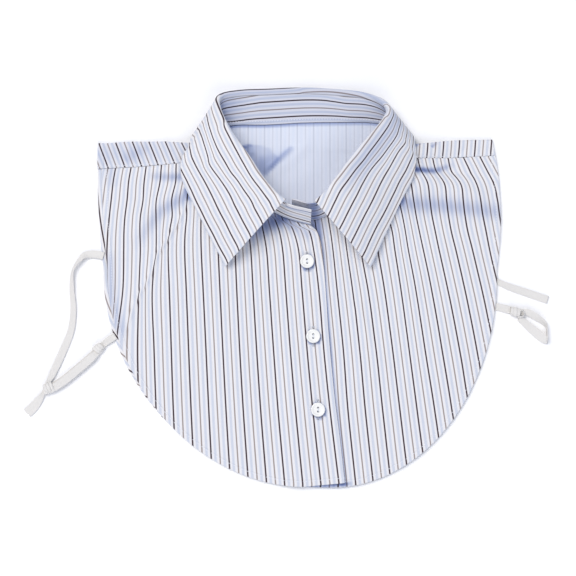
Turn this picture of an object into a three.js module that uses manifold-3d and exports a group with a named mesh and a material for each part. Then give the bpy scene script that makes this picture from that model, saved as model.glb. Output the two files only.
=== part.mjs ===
// A detachable shirt collar on a short bib, front and back, laid flat on a table.
// Millimetres, +Z up. The origin is on the table, under the middle of the back panel.
// +Y points to the nape of the neck, and the button front faces up.
import * as THREE from 'three';
import { mergeVertices } from 'three/addons/utils/BufferGeometryUtils.js';
import Module from 'manifold-3d';

const wasm = await Module();
wasm.setup();

// Cloth and how its layers lie
const CLOTH = 1.0;             // wall of each cloth piece, two or three plies with their turnings
const CLEARANCE = 0.3;         // air between two pieces that touch
const LAYER_AIR = 0.4;         // air between two layers of the bib
const SEAM_GAP = 0.5;          // air along the shoulder seams
const LOFT_REACH = 60;         // how far from the neck seam the front and the flaps are held up
const BACK_REACH = 42;         // how far the back panel is, behind the neck

// Bib
const SHOULDER_LINE = 133.5;   // from the origin to the shoulder fold
const CHEST_LINE = 24.6;       // from the origin to where the round hem starts
const HEM_DEPTH = 151;         // from the origin down to the lowest point of the hem
const SIDE_LEFT = 163.8;       // from the origin to the left side at the chest line
const SIDE_RIGHT = 159;        // the same on the right
const HEM_FLAT_LEFT = -0.8;    // where the left hem's curve runs level
const HEM_FLAT_RIGHT = 22;     // where the right hem's curve runs level
const FLAP_LEFT = 21.5;        // shoulder fold to front seam, at the left side
const FLAP_RIGHT = 12.6;       // the same on the right
const BACK_SHOWS = 3.6;        // how far the back panel shows past the front at the left
const BACK_HIDES = 3.0;        // how far it stays inside the front elsewhere
const PLACKET_FOOT = 33.2;     // from the origin to the foot of the upper front edge
const UNDERLAP = 32;           // how far the lower front runs under it at the hem
const UNDERLAP_RAMP = 25;      // from where the upper front starts to rise to the lower one's edge
const UNDERLAP_RISEN = 5;      // from where it has risen to that edge
const UNDER_HEM_SHOWS = 0.6;   // how far the lower front's hem shows below the upper one

// Collar
const NECK_WIDTH = 160;        // widest part of the neck seam
const NECK_REACH = 96;         // from the shoulder line to the centre front, the unit along Y
const STAND_HEIGHT = 27;
const LEAF_WIDTH = 56;         // the leaf's depth behind its points
const ROLL_RADIUS = 2.0;       // of the fold between stand and leaf
const LEAF_SEAM_DROP = 3.5;    // from the roll down to the seam of stand and leaf
const LEAF_BOW = 2.6;          // how far the leaf's middle arches up

// Buttons
const BUTTON_DIAMETER = 11.5;
const BUTTON_THICKNESS = 2.4;
const BUTTON_DISH = 0.7;       // depth of the hollow in the button's face
const BUTTON_RIM = 1.5;        // width of the rim round that hollow
const BUTTON_BEVEL = 0.5;
const BUTTON_HOLE = 1.7;
const BUTTON_HOLE_PITCH = 3.2;

// Elastic tape
const TAPE_WIDTH = 6.2;
const TAPE_WALL = 1.0;
const KNOT_LENGTH = 10;
const KNOT_WIDTH = 9;
const KNOT_HEIGHT = 5;
const PLY_TURN = 45;           // degrees between two sections of the left loop's folded end

// Levels of the cloth's middle surface
const LAYER = CLOTH + LAYER_AIR;
const BACK_LEVEL = CLOTH / 2;
const FRONT_LEVEL = BACK_LEVEL + LAYER;
const TOP_LEVEL = FRONT_LEVEL + LAYER;

// Grid steps
const PANEL_STEPS = { out: 15, along: 28 };
const BACK_STEPS = { out: 11, along: 34 };
const BACK_GRADING = 1.3;      // draws the back panel's grid closer near the neck
const RING_STEPS = 2;          // steps between two rows of the collar table
const TAPE_STEPS = 2;          // steps between two rows of a tape's route
const SIDE_SHARE = 0.26;       // share of a half's outer edge above the chest line
const FOLD_FADE = 0.2;         // share of a soft fold's length over which its ends fade
const BUTTON_SIDES = 16;
const HOLE_SIDES = 8;
const KNOT_SIDES = 12;
const KNOT_RINGS = 8;
const EDGE_SEARCH = 0.005;     // step along the upper front edge when a button is placed

// The collar, a row for each section round the neck, from the upper end of the stand to the lower one.
// neck: the neck seam, x as a share of NECK_WIDTH, y from the shoulder line as a share of NECK_REACH,
// z as a share of STAND_HEIGHT. rise: from there to the top of the roll, as shares of STAND_HEIGHT.
// fall: from the top of the roll to the leaf's outer edge, as shares of LEAF_WIDTH.
const COLLAR = [
  { at: 'left_tab',    neck: [0.039, -0.756, 0.24],  rise: [0.02, 0.34, 0.98] },
  { at: 'left_front',  neck: [-0.097, -0.688, 0.28], rise: [0.03, 0.36, 0.88],  fall: [-0.84, -0.87, -0.43] },
  { at: 'left_mid',    neck: [-0.246, -0.545, 0.37], rise: [0.30, 0.48, 0.74],  fall: [-0.80, -0.68, -0.38] },
  { at: 'left_rise',   neck: [-0.349, -0.367, 0.44], rise: [0.47, 0.54, 0.62],  fall: [-0.79, -0.61, -0.35] },
  { at: 'left_seam',   neck: [-0.442, -0.183, 0.44], rise: [0.54, 0.57, 0.58],  fall: [-0.74, -0.55, -0.30] },
  { at: 'left_flap',   neck: [-0.495, -0.088, 0.35], rise: [0.54, 0.82, 0.54],  fall: [-0.59, -0.53, -0.19] },
  { at: 'left_turn',   neck: [-0.502, -0.008, 0.22], rise: [0.42, 1.00, 0.48],  fall: [-0.44, -0.59, -0.12] },
  { at: 'left_side',   neck: [-0.487, 0.048, 0.19],  rise: [0.31, 1.03, 0.38],  fall: [-0.39, -0.52, -0.17] },
  { at: 'left_nape',   neck: [-0.451, 0.096, 0.15],  rise: [0.19, 1.05, 0.28],  fall: [-0.27, -0.61, -0.18] },
  { at: 'back_left',   neck: [-0.348, 0.131, 0.11],  rise: [0.09, 1.08, 0.15],  fall: [-0.24, -0.73, -0.115] },
  { at: 'back_near',   neck: [-0.191, 0.136, 0.10],  rise: [0.06, 1.12, 0.10],  fall: [-0.12, -0.79, -0.087] },
  { at: 'back',        neck: [0.001, 0.154, 0.10],   rise: [0.00, 1.10, 0.07],  fall: [0.00, -0.82, -0.072] },
  { at: 'back_far',    neck: [0.184, 0.158, 0.10],   rise: [-0.09, 1.03, 0.10], fall: [0.10, -0.79, -0.087] },
  { at: 'back_right',  neck: [0.356, 0.153, 0.11],   rise: [-0.25, 0.92, 0.19], fall: [0.27, -0.69, -0.134] },
  { at: 'right_nape',  neck: [0.469, 0.114, 0.15],   rise: [-0.45, 0.82, 0.35], fall: [0.34, -0.53, -0.22] },
  { at: 'right_side',  neck: [0.505, 0.057, 0.19],   rise: [-0.49, 0.81, 0.47], fall: [0.41, -0.42, -0.215] },
  { at: 'right_turn',  neck: [0.519, -0.008, 0.22],  rise: [-0.51, 0.82, 0.59], fall: [0.41, -0.50, -0.15] },
  { at: 'right_flap',  neck: [0.501, -0.097, 0.35],  rise: [-0.56, 0.77, 0.63], fall: [0.50, -0.52, -0.235] },
  { at: 'right_seam',  neck: [0.437, -0.183, 0.44],  rise: [-0.55, 0.60, 0.63], fall: [0.63, -0.58, -0.33] },
  { at: 'right_rise',  neck: [0.344, -0.358, 0.44],  rise: [-0.52, 0.60, 0.70], fall: [0.72, -0.59, -0.39] },
  { at: 'right_mid',   neck: [0.226, -0.545, 0.37],  rise: [-0.38, 0.49, 0.78], fall: [0.76, -0.70, -0.41] },
  { at: 'right_front', neck: [0.072, -0.699, 0.17],  rise: [-0.08, 0.39, 0.94], fall: [0.82, -0.91, -0.41] },
  { at: 'right_tab',   neck: [-0.061, -0.645, 0.14], rise: [0.00, 0.30, 0.97] },
];

// Edges of the bib, a row for each half: side is the reach at the chest line, level the place where the
// hem runs level, roundness the hem curve's exponent, flare and bow the side's lean and bulge above the
// chest line as shares of side, and drop the depth of the hem. round is the share of a front's outer edge
// before the straight end of its hem.
const EDGES = {
  front_left:  { sign: -1, side: SIDE_LEFT - BACK_SHOWS, level: HEM_FLAT_LEFT, roundness: 1.9,
                 flare: 0.041, bow: 0.012, drop: HEM_DEPTH, round: 0.93 },
  front_right: { sign: 1, side: SIDE_RIGHT, level: HEM_FLAT_RIGHT, roundness: 2,
                 flare: -0.006, bow: 0.03, drop: HEM_DEPTH + UNDER_HEM_SHOWS, round: 0.95 },
  back_left:   { sign: -1, side: SIDE_LEFT, level: HEM_FLAT_LEFT, roundness: 1.9,
                 flare: 0.041, bow: 0.012, drop: HEM_DEPTH - BACK_HIDES },
  back_right:  { sign: 1, side: SIDE_RIGHT - BACK_HIDES, level: HEM_FLAT_RIGHT, roundness: 2,
                 flare: -0.006, bow: 0.03, drop: HEM_DEPTH - BACK_HIDES },
};

// The upper front edge from neck to hem. across is a share of PLACKET_FOOT, down a share of the way.
const PLACKET = [
  { across: 0.32, down: 0.02 },
  { across: 0.47, down: 0.07 },
  { across: 0.66, down: 0.17 },
  { across: 0.735, down: 0.29 },
  { across: 0.85, down: 0.447 },
  { across: 0.93, down: 0.70 },
];

// Buttons down the front. along is the place along Y, inset the way from the centre to the front edge.
const BUTTONS = [
  { name: 'button_top',    along: 31.1,  inset: 17.4 },
  { name: 'button_middle', along: -30.2, inset: 19.9 },
  { name: 'button_bottom', along: -89.6, inset: 19.2 },
];

// Soft folds in the panels, a row each. start and end are x as a share of SIDE_LEFT and y as a share of
// HEM_DEPTH, rise and width are shares of LOFT_REACH.
const FOLDS = [
  { panel: 'front_left',  start: [-0.56, 0.60], end: [-0.90, -0.20], rise: 0.050, width: 0.13 },
  { panel: 'front_left',  start: [-0.70, 0.72], end: [-0.86, 0.62],  rise: 0.022, width: 0.12 },
  { panel: 'front_right', start: [0.62, 0.66],  end: [0.94, 0.55],   rise: 0.040, width: 0.16 },
  { panel: 'front_right', start: [0.28, -0.02], end: [0.33, -0.24],  rise: 0.022, width: 0.12 },
];

// Routes of the tapes from hem to tip. x is a share of SIDE_LEFT or SIDE_RIGHT, y a share of HEM_DEPTH,
// lift is the height over the table in tape walls, tilt the turn about the tape's length in degrees,
// wide the width as a share of TAPE_WIDTH.
const STRAP_LEFT_ROUTE = [
  { x: -1.000, y: 0.240, lift: 1.3, tilt: 0,  wide: 1.00 },
  { x: -1.030, y: 0.248, lift: 0.8, tilt: 0,  wide: 1.00 },
  { x: -1.075, y: 0.250, lift: 0.1, tilt: 10, wide: 1.00 },
  { x: -1.120, y: 0.222, lift: 0.0, tilt: 45, wide: 0.95 },
  { x: -1.153, y: 0.165, lift: 0.0, tilt: 60, wide: 0.85 },
  { x: -1.160, y: 0.054, lift: 0.0, tilt: 25, wide: 0.80 },
  { x: -1.146, y: -0.056, lift: 0.0, tilt: 12, wide: 0.80 },
  { x: -1.155, y: -0.164, lift: 0.0, tilt: 5, wide: 0.90 },
  { x: -1.190, y: -0.272, lift: 0.2, tilt: 0,  wide: 1.00 },
  { x: -1.237, y: -0.391, lift: 0.9, tilt: 0,  wide: 0.90 },
  { x: -1.262, y: -0.450, lift: 1.3, tilt: 0,  wide: 0.60 },
  { x: -1.284, y: -0.505, lift: 1.3, tilt: 0,  wide: 0.55 },
  { x: -1.310, y: -0.548, lift: 0.3, tilt: 0,  wide: 1.10 },
  { x: -1.335, y: -0.582, lift: 0.0, tilt: 0,  wide: 1.30 },
  { x: -1.362, y: -0.611, lift: 0.0, tilt: 0,  wide: 1.30 },
];
const STRAP_RIGHT_ROUTE = [
  { x: 0.990, y: 0.108, lift: 0.0, tilt: 0, wide: 1.00 },
  { x: 1.020, y: 0.092, lift: 0.0, tilt: 0, wide: 1.00 },
  { x: 1.067, y: 0.070, lift: 0.0, tilt: 0, wide: 1.00 },
  { x: 1.143, y: 0.043, lift: 0.0, tilt: 0, wide: 1.00 },
  { x: 1.200, y: 0.022, lift: 0.0, tilt: 0, wide: 1.00 },
  { x: 1.260, y: 0.000, lift: 0.0, tilt: 0, wide: 1.00 },
];
const LOOP_LEFT_STEM = [
  { x: -0.932, y: -0.197, lift: 1.5, tilt: 0, wide: 0.90 },
  { x: -0.960, y: -0.216, lift: 1.4, tilt: 0, wide: 0.90 },
  { x: -0.995, y: -0.245, lift: 1.2, tilt: 0, wide: 0.80 },
  { x: -1.018, y: -0.267, lift: 1.4, tilt: 0, wide: 0.70 },
];
const LOOP_LEFT_PLY = [
  { x: -1.010, y: -0.260, lift: 1.6, tilt: 0, wide: 0.70 },
  { x: -1.056, y: -0.311, lift: 0.3, tilt: 0, wide: 1.00 },
  { x: -1.129, y: -0.381, lift: 0.0, tilt: 0, wide: 1.05 },
  { x: -1.200, y: -0.443, lift: 0.0, tilt: 0, wide: 1.05 },
  { x: -1.255, y: -0.476, lift: 0.0, tilt: 0, wide: 1.00 },
  { x: -1.302, y: -0.487, lift: 0.0, tilt: 0, wide: 0.95 },
];
const LOOP_RIGHT_STEM = [
  { x: 0.978, y: -0.033, lift: 0.0, tilt: 0, wide: 0.95 },
  { x: 1.000, y: -0.038, lift: 0.0, tilt: 0, wide: 0.95 },
  { x: 1.045, y: -0.050, lift: 0.3, tilt: 0, wide: 1.00 },
  { x: 1.090, y: -0.066, lift: 1.0, tilt: 0, wide: 0.80 },
];
const LOOP_RIGHT_RING = [
  { x: 1.100, y: -0.070, lift: 1.6, tilt: 0,  wide: 0.75 },
  { x: 1.150, y: -0.073, lift: 0.8, tilt: 20, wide: 0.90 },
  { x: 1.195, y: -0.098, lift: 0.1, tilt: 35, wide: 0.95 },
  { x: 1.235, y: -0.140, lift: 0.0, tilt: 60, wide: 0.90 },
  { x: 1.262, y: -0.190, lift: 0.0, tilt: 88, wide: 0.85 },
  { x: 1.252, y: -0.242, lift: 0.0, tilt: 120, wide: 0.90 },
  { x: 1.215, y: -0.224, lift: 0.0, tilt: 150, wide: 1.00 },
  { x: 1.160, y: -0.172, lift: 0.2, tilt: 170, wide: 1.00 },
  { x: 1.098, y: -0.095, lift: 1.0, tilt: 180, wide: 0.80 },
];

const smooth = THREE.MathUtils.smoothstep;
const lerp = THREE.MathUtils.lerp;
const clamp01 = (value) => THREE.MathUtils.clamp(value, 0, 1);
const point = (x, y, z = 0) => new THREE.Vector3(x, y, z);

// How much of the neck seam's height is left at a distance from it, 1 at the seam and 0 at the reach
function loft(distance, reach = LOFT_REACH) {
  return 1 - smooth(distance, 0, reach);
}

// Collar curves: the neck seam, the top of the roll and the outer edge of the leaf
const neckPoints = COLLAR.map(({ neck }) => point(
  neck[0] * NECK_WIDTH, SHOULDER_LINE + neck[1] * NECK_REACH, neck[2] * STAND_HEIGHT));
const rollPoints = COLLAR.map(({ rise }, row) => point(...rise)
  .multiplyScalar(STAND_HEIGHT).add(neckPoints[row]));
const leafRows = COLLAR.map(({ fall }, row) => (fall ? row : -1)).filter((row) => row >= 0);
const edgePoints = leafRows.map((row) => point(...COLLAR[row].fall)
  .multiplyScalar(LEAF_WIDTH).add(rollPoints[row]));
const rowOf = (name) => COLLAR.findIndex(({ at }) => at === name);

const neckCurve = new THREE.CatmullRomCurve3(neckPoints);
const rollCurve = new THREE.CatmullRomCurve3(rollPoints);
const edgeCurve = new THREE.CatmullRomCurve3(edgePoints);
const lastRow = COLLAR.length - 1;
const neckAt = (row) => neckCurve.getPoint(row / lastRow);
const rollAt = (row) => rollCurve.getPoint(row / lastRow);
const edgeAt = (row) => edgeCurve.getPoint(clamp01((row - leafRows[0]) / (leafRows.length - 1)));

// Closed solid from a grid of points on the middle surface of a cloth wall
function thicken(rows, wall) {
  const last = rows.length - 1;
  const width = rows[0].length;
  const normalAt = (i, j) => {
    const along = rows[Math.min(i + 1, last)][j].clone().sub(rows[Math.max(i - 1, 0)][j]);
    const across = rows[i][Math.min(j + 1, width - 1)].clone().sub(rows[i][Math.max(j - 1, 0)]);
    return along.cross(across).normalize();
  };
  const vertices = [];
  for (const side of [0.5, -0.5]) {
    rows.forEach((row, i) => row.forEach((middle, j) => {
      vertices.push(middle.clone().addScaledVector(normalAt(i, j), side * wall));
    }));
  }
  const index = (side, i, j) => side * rows.length * width + i * width + j;
  const triangles = [];
  const quad = (a, b, c, d) => triangles.push(a, b, c, a, c, d);
  for (let i = 0; i < last; i++) {
    for (let j = 0; j < width - 1; j++) {
      quad(index(0, i, j), index(0, i + 1, j), index(0, i + 1, j + 1), index(0, i, j + 1));
      quad(index(1, i, j), index(1, i, j + 1), index(1, i + 1, j + 1), index(1, i + 1, j));
    }
  }
  for (let i = 0; i < last; i++) {
    quad(index(0, i, 0), index(1, i, 0), index(1, i + 1, 0), index(0, i + 1, 0));
    quad(index(0, i + 1, width - 1), index(1, i + 1, width - 1), index(1, i, width - 1), index(0, i, width - 1));
  }
  for (let j = 0; j < width - 1; j++) {
    quad(index(0, 0, j + 1), index(1, 0, j + 1), index(1, 0, j), index(0, 0, j));
    quad(index(0, last, j), index(1, last, j), index(1, last, j + 1), index(0, last, j + 1));
  }
  return closedGeometry(vertices, triangles);
}

// Indexed geometry with its faces turned outwards
function closedGeometry(vertices, triangles) {
  let volume = 0;
  for (let i = 0; i < triangles.length; i += 3) {
    const [a, b, c] = [0, 1, 2].map((k) => vertices[triangles[i + k]]);
    volume += a.dot(b.clone().cross(c));
  }
  const faces = volume < 0 ? triangles.slice().reverse() : triangles;
  const geometry = new THREE.BufferGeometry().setFromPoints(vertices);
  geometry.setIndex(faces);
  return geometry;
}

function toSolid(geometry) {
  const bare = geometry.clone();
  bare.deleteAttribute('normal');
  bare.deleteAttribute('uv');
  const merged = mergeVertices(bare, 1e-4);
  return new wasm.Manifold(new wasm.Mesh({
    numProp: 3,
    vertProperties: new Float32Array(merged.attributes.position.array),
    triVerts: new Uint32Array(merged.index.array),
  }));
}

function toGeometry(solid) {
  const mesh = solid.getMesh();
  const geometry = new THREE.BufferGeometry();
  geometry.setAttribute('position', new THREE.BufferAttribute(new Float32Array(mesh.vertProperties), 3));
  geometry.setIndex(Array.from(mesh.triVerts));
  return geometry;
}

function piece(name, geometry, color, roughness) {
  const mesh = new THREE.Mesh(geometry, new THREE.MeshStandardMaterial({ color, roughness, metalness: 0 }));
  mesh.geometry.computeVertexNormals();
  mesh.name = name;
  return mesh;
}

// Plan point on a half's edge, from the shoulder (share 0) down the side and round the hem (share 1)
function edgeOf(half, top, share) {
  const { sign, side, level, roundness, flare, bow, drop } = half;
  const fullTop = SHOULDER_LINE - CHEST_LINE;
  if (share < SIDE_SHARE) {
    const y = lerp(top, CHEST_LINE, share / SIDE_SHARE);
    const up = (y - CHEST_LINE) / fullTop;
    return point(sign * side * (1 + flare * up + bow * 4 * up * (1 - up)), y);
  }
  const turn = (share - SIDE_SHARE) / (1 - SIDE_SHARE) * Math.PI / 2;
  const power = 2 / roundness;
  const reach = side - sign * level;
  return point(
    level + sign * reach * Math.cos(turn) ** power,
    CHEST_LINE - (drop + CHEST_LINE) * Math.sin(turn) ** power);
}

// Front panels: a patch between the neck seam, the shoulder seam, the outer edge and the front edge
const frontEdgeCurve = (neckEnd, footY) => new THREE.CatmullRomCurve3([
  point(neckEnd.x, neckEnd.y),
  ...PLACKET.map(({ across, down }) => point(across * PLACKET_FOOT, lerp(neckEnd.y, footY, down))),
  point(PLACKET_FOOT, footY),
]);
const overFoot = point(PLACKET_FOOT, -HEM_DEPTH + BACK_HIDES);
const underFoot = point(PLACKET_FOOT - UNDERLAP, -HEM_DEPTH);
const overNeckEnd = neckAt(0);
const underNeckEnd = neckAt(lastRow);
const placketCurve = frontEdgeCurve(overNeckEnd, overFoot.y);

function foldRise(panel, x, y) {
  return FOLDS.filter((fold) => fold.panel === panel).reduce((sum, { start, end, rise, width }) => {
    const from = new THREE.Vector2(start[0] * SIDE_LEFT, start[1] * HEM_DEPTH);
    const way = new THREE.Vector2(end[0] * SIDE_LEFT, end[1] * HEM_DEPTH).sub(from);
    const here = new THREE.Vector2(x, y).sub(from);
    const share = here.dot(way) / way.lengthSq();
    const off = Math.abs(here.cross(way)) / way.length() / (width * LOFT_REACH);
    const ends = smooth(share, -FOLD_FADE, FOLD_FADE) * (1 - smooth(share, 1 - FOLD_FADE, 1 + FOLD_FADE));
    return sum + rise * LOFT_REACH * ends * Math.exp(-off * off);
  }, 0);
}

// How far the upper front panel is lifted by the lower one beneath it
function underlapRise(x, y) {
  const share = (underNeckEnd.y - y) / (underNeckEnd.y - underFoot.y);
  const hiddenEdge = lerp(underNeckEnd.x, underFoot.x, share);
  return LAYER * smooth(x - hiddenEdge, -UNDERLAP_RAMP, -UNDERLAP_RISEN);
}

function frontPanel({ panel, seamRow, endRow, flap, foot, frontEdge, rise }) {
  const half = EDGES[panel];
  const outer = (v, top) => (v < half.round
    ? edgeOf(half, top, v / half.round)
    : edgeOf(half, top, 1).lerp(foot, (v - half.round) / (1 - half.round)));
  const seamSide = point(edgeOf(half, SHOULDER_LINE - flap, 0).x, SHOULDER_LINE - flap - SEAM_GAP);
  const neckSeam = (v) => neckAt(lerp(seamRow, endRow, v));
  const rows = [];
  for (let i = 0; i <= PANEL_STEPS.out; i++) {
    const u = i / PANEL_STEPS.out;
    const row = [];
    for (let j = 0; j <= PANEL_STEPS.along; j++) {
      const v = j / PANEL_STEPS.along;
      const neck = neckSeam(v);
      const rim = outer(v, seamSide.y);
      const first = neckSeam(0).lerp(seamSide, u);
      const last = frontEdge(u);
      const corners = neckSeam(0).multiplyScalar((1 - u) * (1 - v)).addScaledVector(seamSide, u * (1 - v))
        .addScaledVector(neckSeam(1), (1 - u) * v).addScaledVector(outer(1, seamSide.y), u * v);
      const plan = neck.clone().multiplyScalar(1 - u).addScaledVector(rim, u)
        .addScaledVector(first, 1 - v).addScaledVector(last, v).sub(corners);
      const inset = SEAM_GAP * (1 - u) * (1 - v);
      const held = loft(u * Math.hypot(rim.x - neck.x, rim.y - neck.y));
      const level = FRONT_LEVEL + rise(plan.x, plan.y);
      const z = lerp(level, neck.z, held) + foldRise(panel, plan.x, plan.y) * (1 - held);
      row.push(point(plan.x, plan.y - inset, z));
    }
    rows.push(row);
  }
  return thicken(rows, CLOTH);
}

function buttonholePanel() {
  return frontPanel({ panel: 'front_left', seamRow: rowOf('left_seam'), endRow: 0, flap: FLAP_LEFT,
    foot: overFoot, frontEdge: (u) => placketCurve.getPointAt(u), rise: underlapRise });
}

function buttonPanel() {
  return frontPanel({ panel: 'front_right', seamRow: rowOf('right_seam'), endRow: lastRow, flap: FLAP_RIGHT,
    foot: underFoot, frontEdge: (u) => point(underNeckEnd.x, underNeckEnd.y).lerp(underFoot, u), rise: () => 0 });
}

// Back panel: ribs from the neck seam to the outer edge, over the left flap and shoulder fold, round the
// back, and over the right fold and flap
function backPanel() {
  const radius = LAYER / 2;
  const ribs = [];
  const addRib = (neck, outer, level, reach, push = 0) => ribs.push({ neck, outer, level, reach, push });
  const flapRibs = (seamRow, turnRow, half, flap, shares) => shares.forEach((k) => {
    const neck = neckAt(lerp(turnRow, seamRow, k));
    neck.z += (1 - k) * LAYER;
    const y = SHOULDER_LINE - k * flap;
    addRib(neck, point(edgeOf(half, y, 0).x, y), FRONT_LEVEL, LOFT_REACH);
  });
  const rollRibs = (turnRow, half, angles) => angles.forEach((degrees) => {
    const turn = THREE.MathUtils.degToRad(degrees);
    const over = (1 + Math.sin(turn)) / 2;
    const neck = neckAt(turnRow);
    neck.z += over * LAYER;
    addRib(neck, edgeOf(half, SHOULDER_LINE, 0), BACK_LEVEL + over * LAYER,
      lerp(BACK_REACH, LOFT_REACH, over), radius * Math.cos(turn));
  });
  const flapShares = [1, 0.66, 0.33];
  const rollAngles = [90, 45, 0, -45];
  flapRibs(rowOf('left_seam'), rowOf('left_turn'), EDGES.back_left, FLAP_LEFT, flapShares);
  rollRibs(rowOf('left_turn'), EDGES.back_left, rollAngles);
  for (let j = 0; j <= BACK_STEPS.along; j++) {
    const v = j / BACK_STEPS.along;
    const outer = v < 0.5
      ? edgeOf(EDGES.back_left, SHOULDER_LINE, v * 2)
      : edgeOf(EDGES.back_right, SHOULDER_LINE, 2 - v * 2);
    addRib(neckAt(lerp(rowOf('left_turn'), rowOf('right_turn'), v)), outer, BACK_LEVEL, BACK_REACH);
  }
  rollRibs(rowOf('right_turn'), EDGES.back_right, rollAngles.slice().reverse());
  flapRibs(rowOf('right_seam'), rowOf('right_turn'), EDGES.back_right, FLAP_RIGHT, flapShares.slice().reverse());
  const rows = ribs.map(({ neck, outer, level, reach, push }) => {
    const row = [];
    for (let i = 0; i <= BACK_STEPS.out; i++) {
      const u = (i / BACK_STEPS.out) ** BACK_GRADING;
      const held = loft(u * Math.hypot(outer.x - neck.x, outer.y - neck.y), reach);
      row.push(point(lerp(neck.x, outer.x, u), lerp(neck.y, outer.y, u) + push, lerp(level, neck.z, held)));
    }
    return row;
  });
  return thicken(rows, CLOTH);
}

// One section of the collar: the stand's line, the roll and the leaf's line, all in three dimensions
function collarSection(row) {
  const neck = neckAt(row);
  const roll = rollAt(row);
  const edge = edgeAt(row);
  const down = neck.clone().sub(roll).normalize();
  const out = edge.clone().sub(roll).normalize();
  const tip = down.clone().add(out).normalize().negate();
  const inward = rollCurve.getTangent(row / lastRow).cross(tip).normalize();
  const sweepTo = (line, side) => Math.PI / 2 - Math.max(0, Math.atan2(side * line.dot(inward), -line.dot(tip)));
  const centre = roll.clone().addScaledVector(tip, -ROLL_RADIUS);
  const onRoll = (angle) => centre.clone()
    .addScaledVector(tip, ROLL_RADIUS * Math.cos(angle)).addScaledVector(inward, ROLL_RADIUS * Math.sin(angle));
  return { neck, edge, onRoll, standSweep: sweepTo(down, 1), leafSweep: sweepTo(out, -1) };
}

// The shoulder fold's thickness lifts the stand's lower edge where the two meet
const TURN_ROWS = ['left_turn', 'right_turn'].map(rowOf);
const besideFold = (row) => Math.max(0, ...TURN_ROWS.map((turn) => 1 - Math.abs(row - turn) / 2));

const STAND_SHARES = [0, 0.34, 0.67, 1];
function standSection(row) {
  const { neck, onRoll, standSweep } = collarSection(row);
  const top = onRoll(standSweep);
  const run = top.clone().sub(neck);
  const length = run.length();
  const direction = run.normalize();
  const start = CLEARANCE + CLOTH / 2 * Math.max(0, direction.z) + LAYER * besideFold(row);
  const end = length - LEAF_SEAM_DROP - CLEARANCE;
  return STAND_SHARES.map((share) => neck.clone().addScaledVector(direction, lerp(start, end, share)));
}

// The leaf starts at its seam with the stand, rolls over and falls. It drops flat where it lies under the
// back panel, and arches a little where it stands over the front panels.
const ROLL_SHARES = [1, 0.5, 0, -0.5, -1];
const LEAF_SHARES = [0.2, 0.4, 0.6, 0.8, 1];
function leafSection(row) {
  const { neck, edge, onRoll, standSweep, leafSweep } = collarSection(row);
  const inner = onRoll(standSweep);
  const outer = onRoll(-leafSweep);
  const seam = inner.clone().addScaledVector(neck.clone().sub(inner).normalize(), LEAF_SEAM_DROP - CLEARANCE / 3);
  const lifted = smooth(outer.z, STAND_HEIGHT / 3, STAND_HEIGHT);
  return [
    seam,
    ...ROLL_SHARES.map((share) => onRoll(share > 0 ? share * standSweep : share * leafSweep)),
    ...LEAF_SHARES.map((share) => {
      const place = outer.clone().lerp(edge, share);
      const lying = lerp(outer.z, edge.z, 1 - (1 - share) ** 3);
      place.z = Math.max(BACK_LEVEL, lerp(lying, place.z + LEAF_BOW * 4 * share * (1 - share), lifted));
      return place;
    }),
  ];
}

function ring(section, firstRow, endRow) {
  const steps = (endRow - firstRow) * RING_STEPS;
  return thicken(Array.from({ length: steps + 1 }, (_, i) => section(firstRow + i / RING_STEPS)), CLOTH);
}
const collarStand = () => ring(standSection, 0, lastRow);
const collarLeaf = () => ring(leafSection, leafRows[0], leafRows[leafRows.length - 1]);

// Buttons: a round disc with a dished face and two holes, one above the other
function button() {
  const radius = BUTTON_DIAMETER / 2;
  const profile = [
    [0, 0],
    [radius - BUTTON_BEVEL, 0],
    [radius, BUTTON_BEVEL],
    [radius, BUTTON_THICKNESS - BUTTON_BEVEL],
    [radius - BUTTON_BEVEL, BUTTON_THICKNESS],
    [radius - BUTTON_RIM, BUTTON_THICKNESS],
    [radius - BUTTON_RIM - BUTTON_DISH, BUTTON_THICKNESS - BUTTON_DISH],
    [0, BUTTON_THICKNESS - BUTTON_DISH],
  ].map(([x, y]) => new THREE.Vector2(x, y));
  const disc = new THREE.LatheGeometry(profile, BUTTON_SIDES).rotateX(Math.PI / 2);
  const holes = [-0.5, 0.5].map((side) => toSolid(
    new THREE.CylinderGeometry(BUTTON_HOLE / 2, BUTTON_HOLE / 2, BUTTON_THICKNESS * 3, HOLE_SIDES)
      .rotateX(Math.PI / 2).translate(0, side * BUTTON_HOLE_PITCH, 0)));
  return toGeometry(holes.reduce((solid, hole) => solid.subtract(hole), toSolid(disc)));
}

// Tape with its two broad faces and two edges, following the rows of a route over the table
function stationsOf(rows, side) {
  const plan = new THREE.CatmullRomCurve3(rows.map(({ x, y }) => point(x * side, y * HEM_DEPTH)));
  const count = (rows.length - 1) * TAPE_STEPS;
  return Array.from({ length: count + 1 }, (_, i) => {
    const near = Math.min(Math.floor(i / TAPE_STEPS), rows.length - 2);
    const part = i / TAPE_STEPS - near;
    const between = (name) => lerp(rows[near][name], rows[near + 1][name], part);
    const turn = THREE.MathUtils.degToRad(between('tilt'));
    const half = TAPE_WIDTH * between('wide') / 2;
    const rest = Math.abs(Math.sin(turn)) * half + Math.abs(Math.cos(turn)) * TAPE_WALL / 2;
    const place = plan.getPoint(i / count).setZ(rest + between('lift') * TAPE_WALL);
    return { place, turn, half, ahead: plan.getTangent(i / count).normalize() };
  });
}

function tape(stations) {
  return thicken(stations.map(({ place, turn, half, ahead }) => {
    const level = point(-ahead.y, ahead.x);
    const across = level.multiplyScalar(Math.cos(turn)).add(point(0, 0, Math.sin(turn)));
    return [-1, 1].map((side) => place.clone().addScaledVector(across, side * half));
  }), TAPE_WALL);
}

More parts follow.
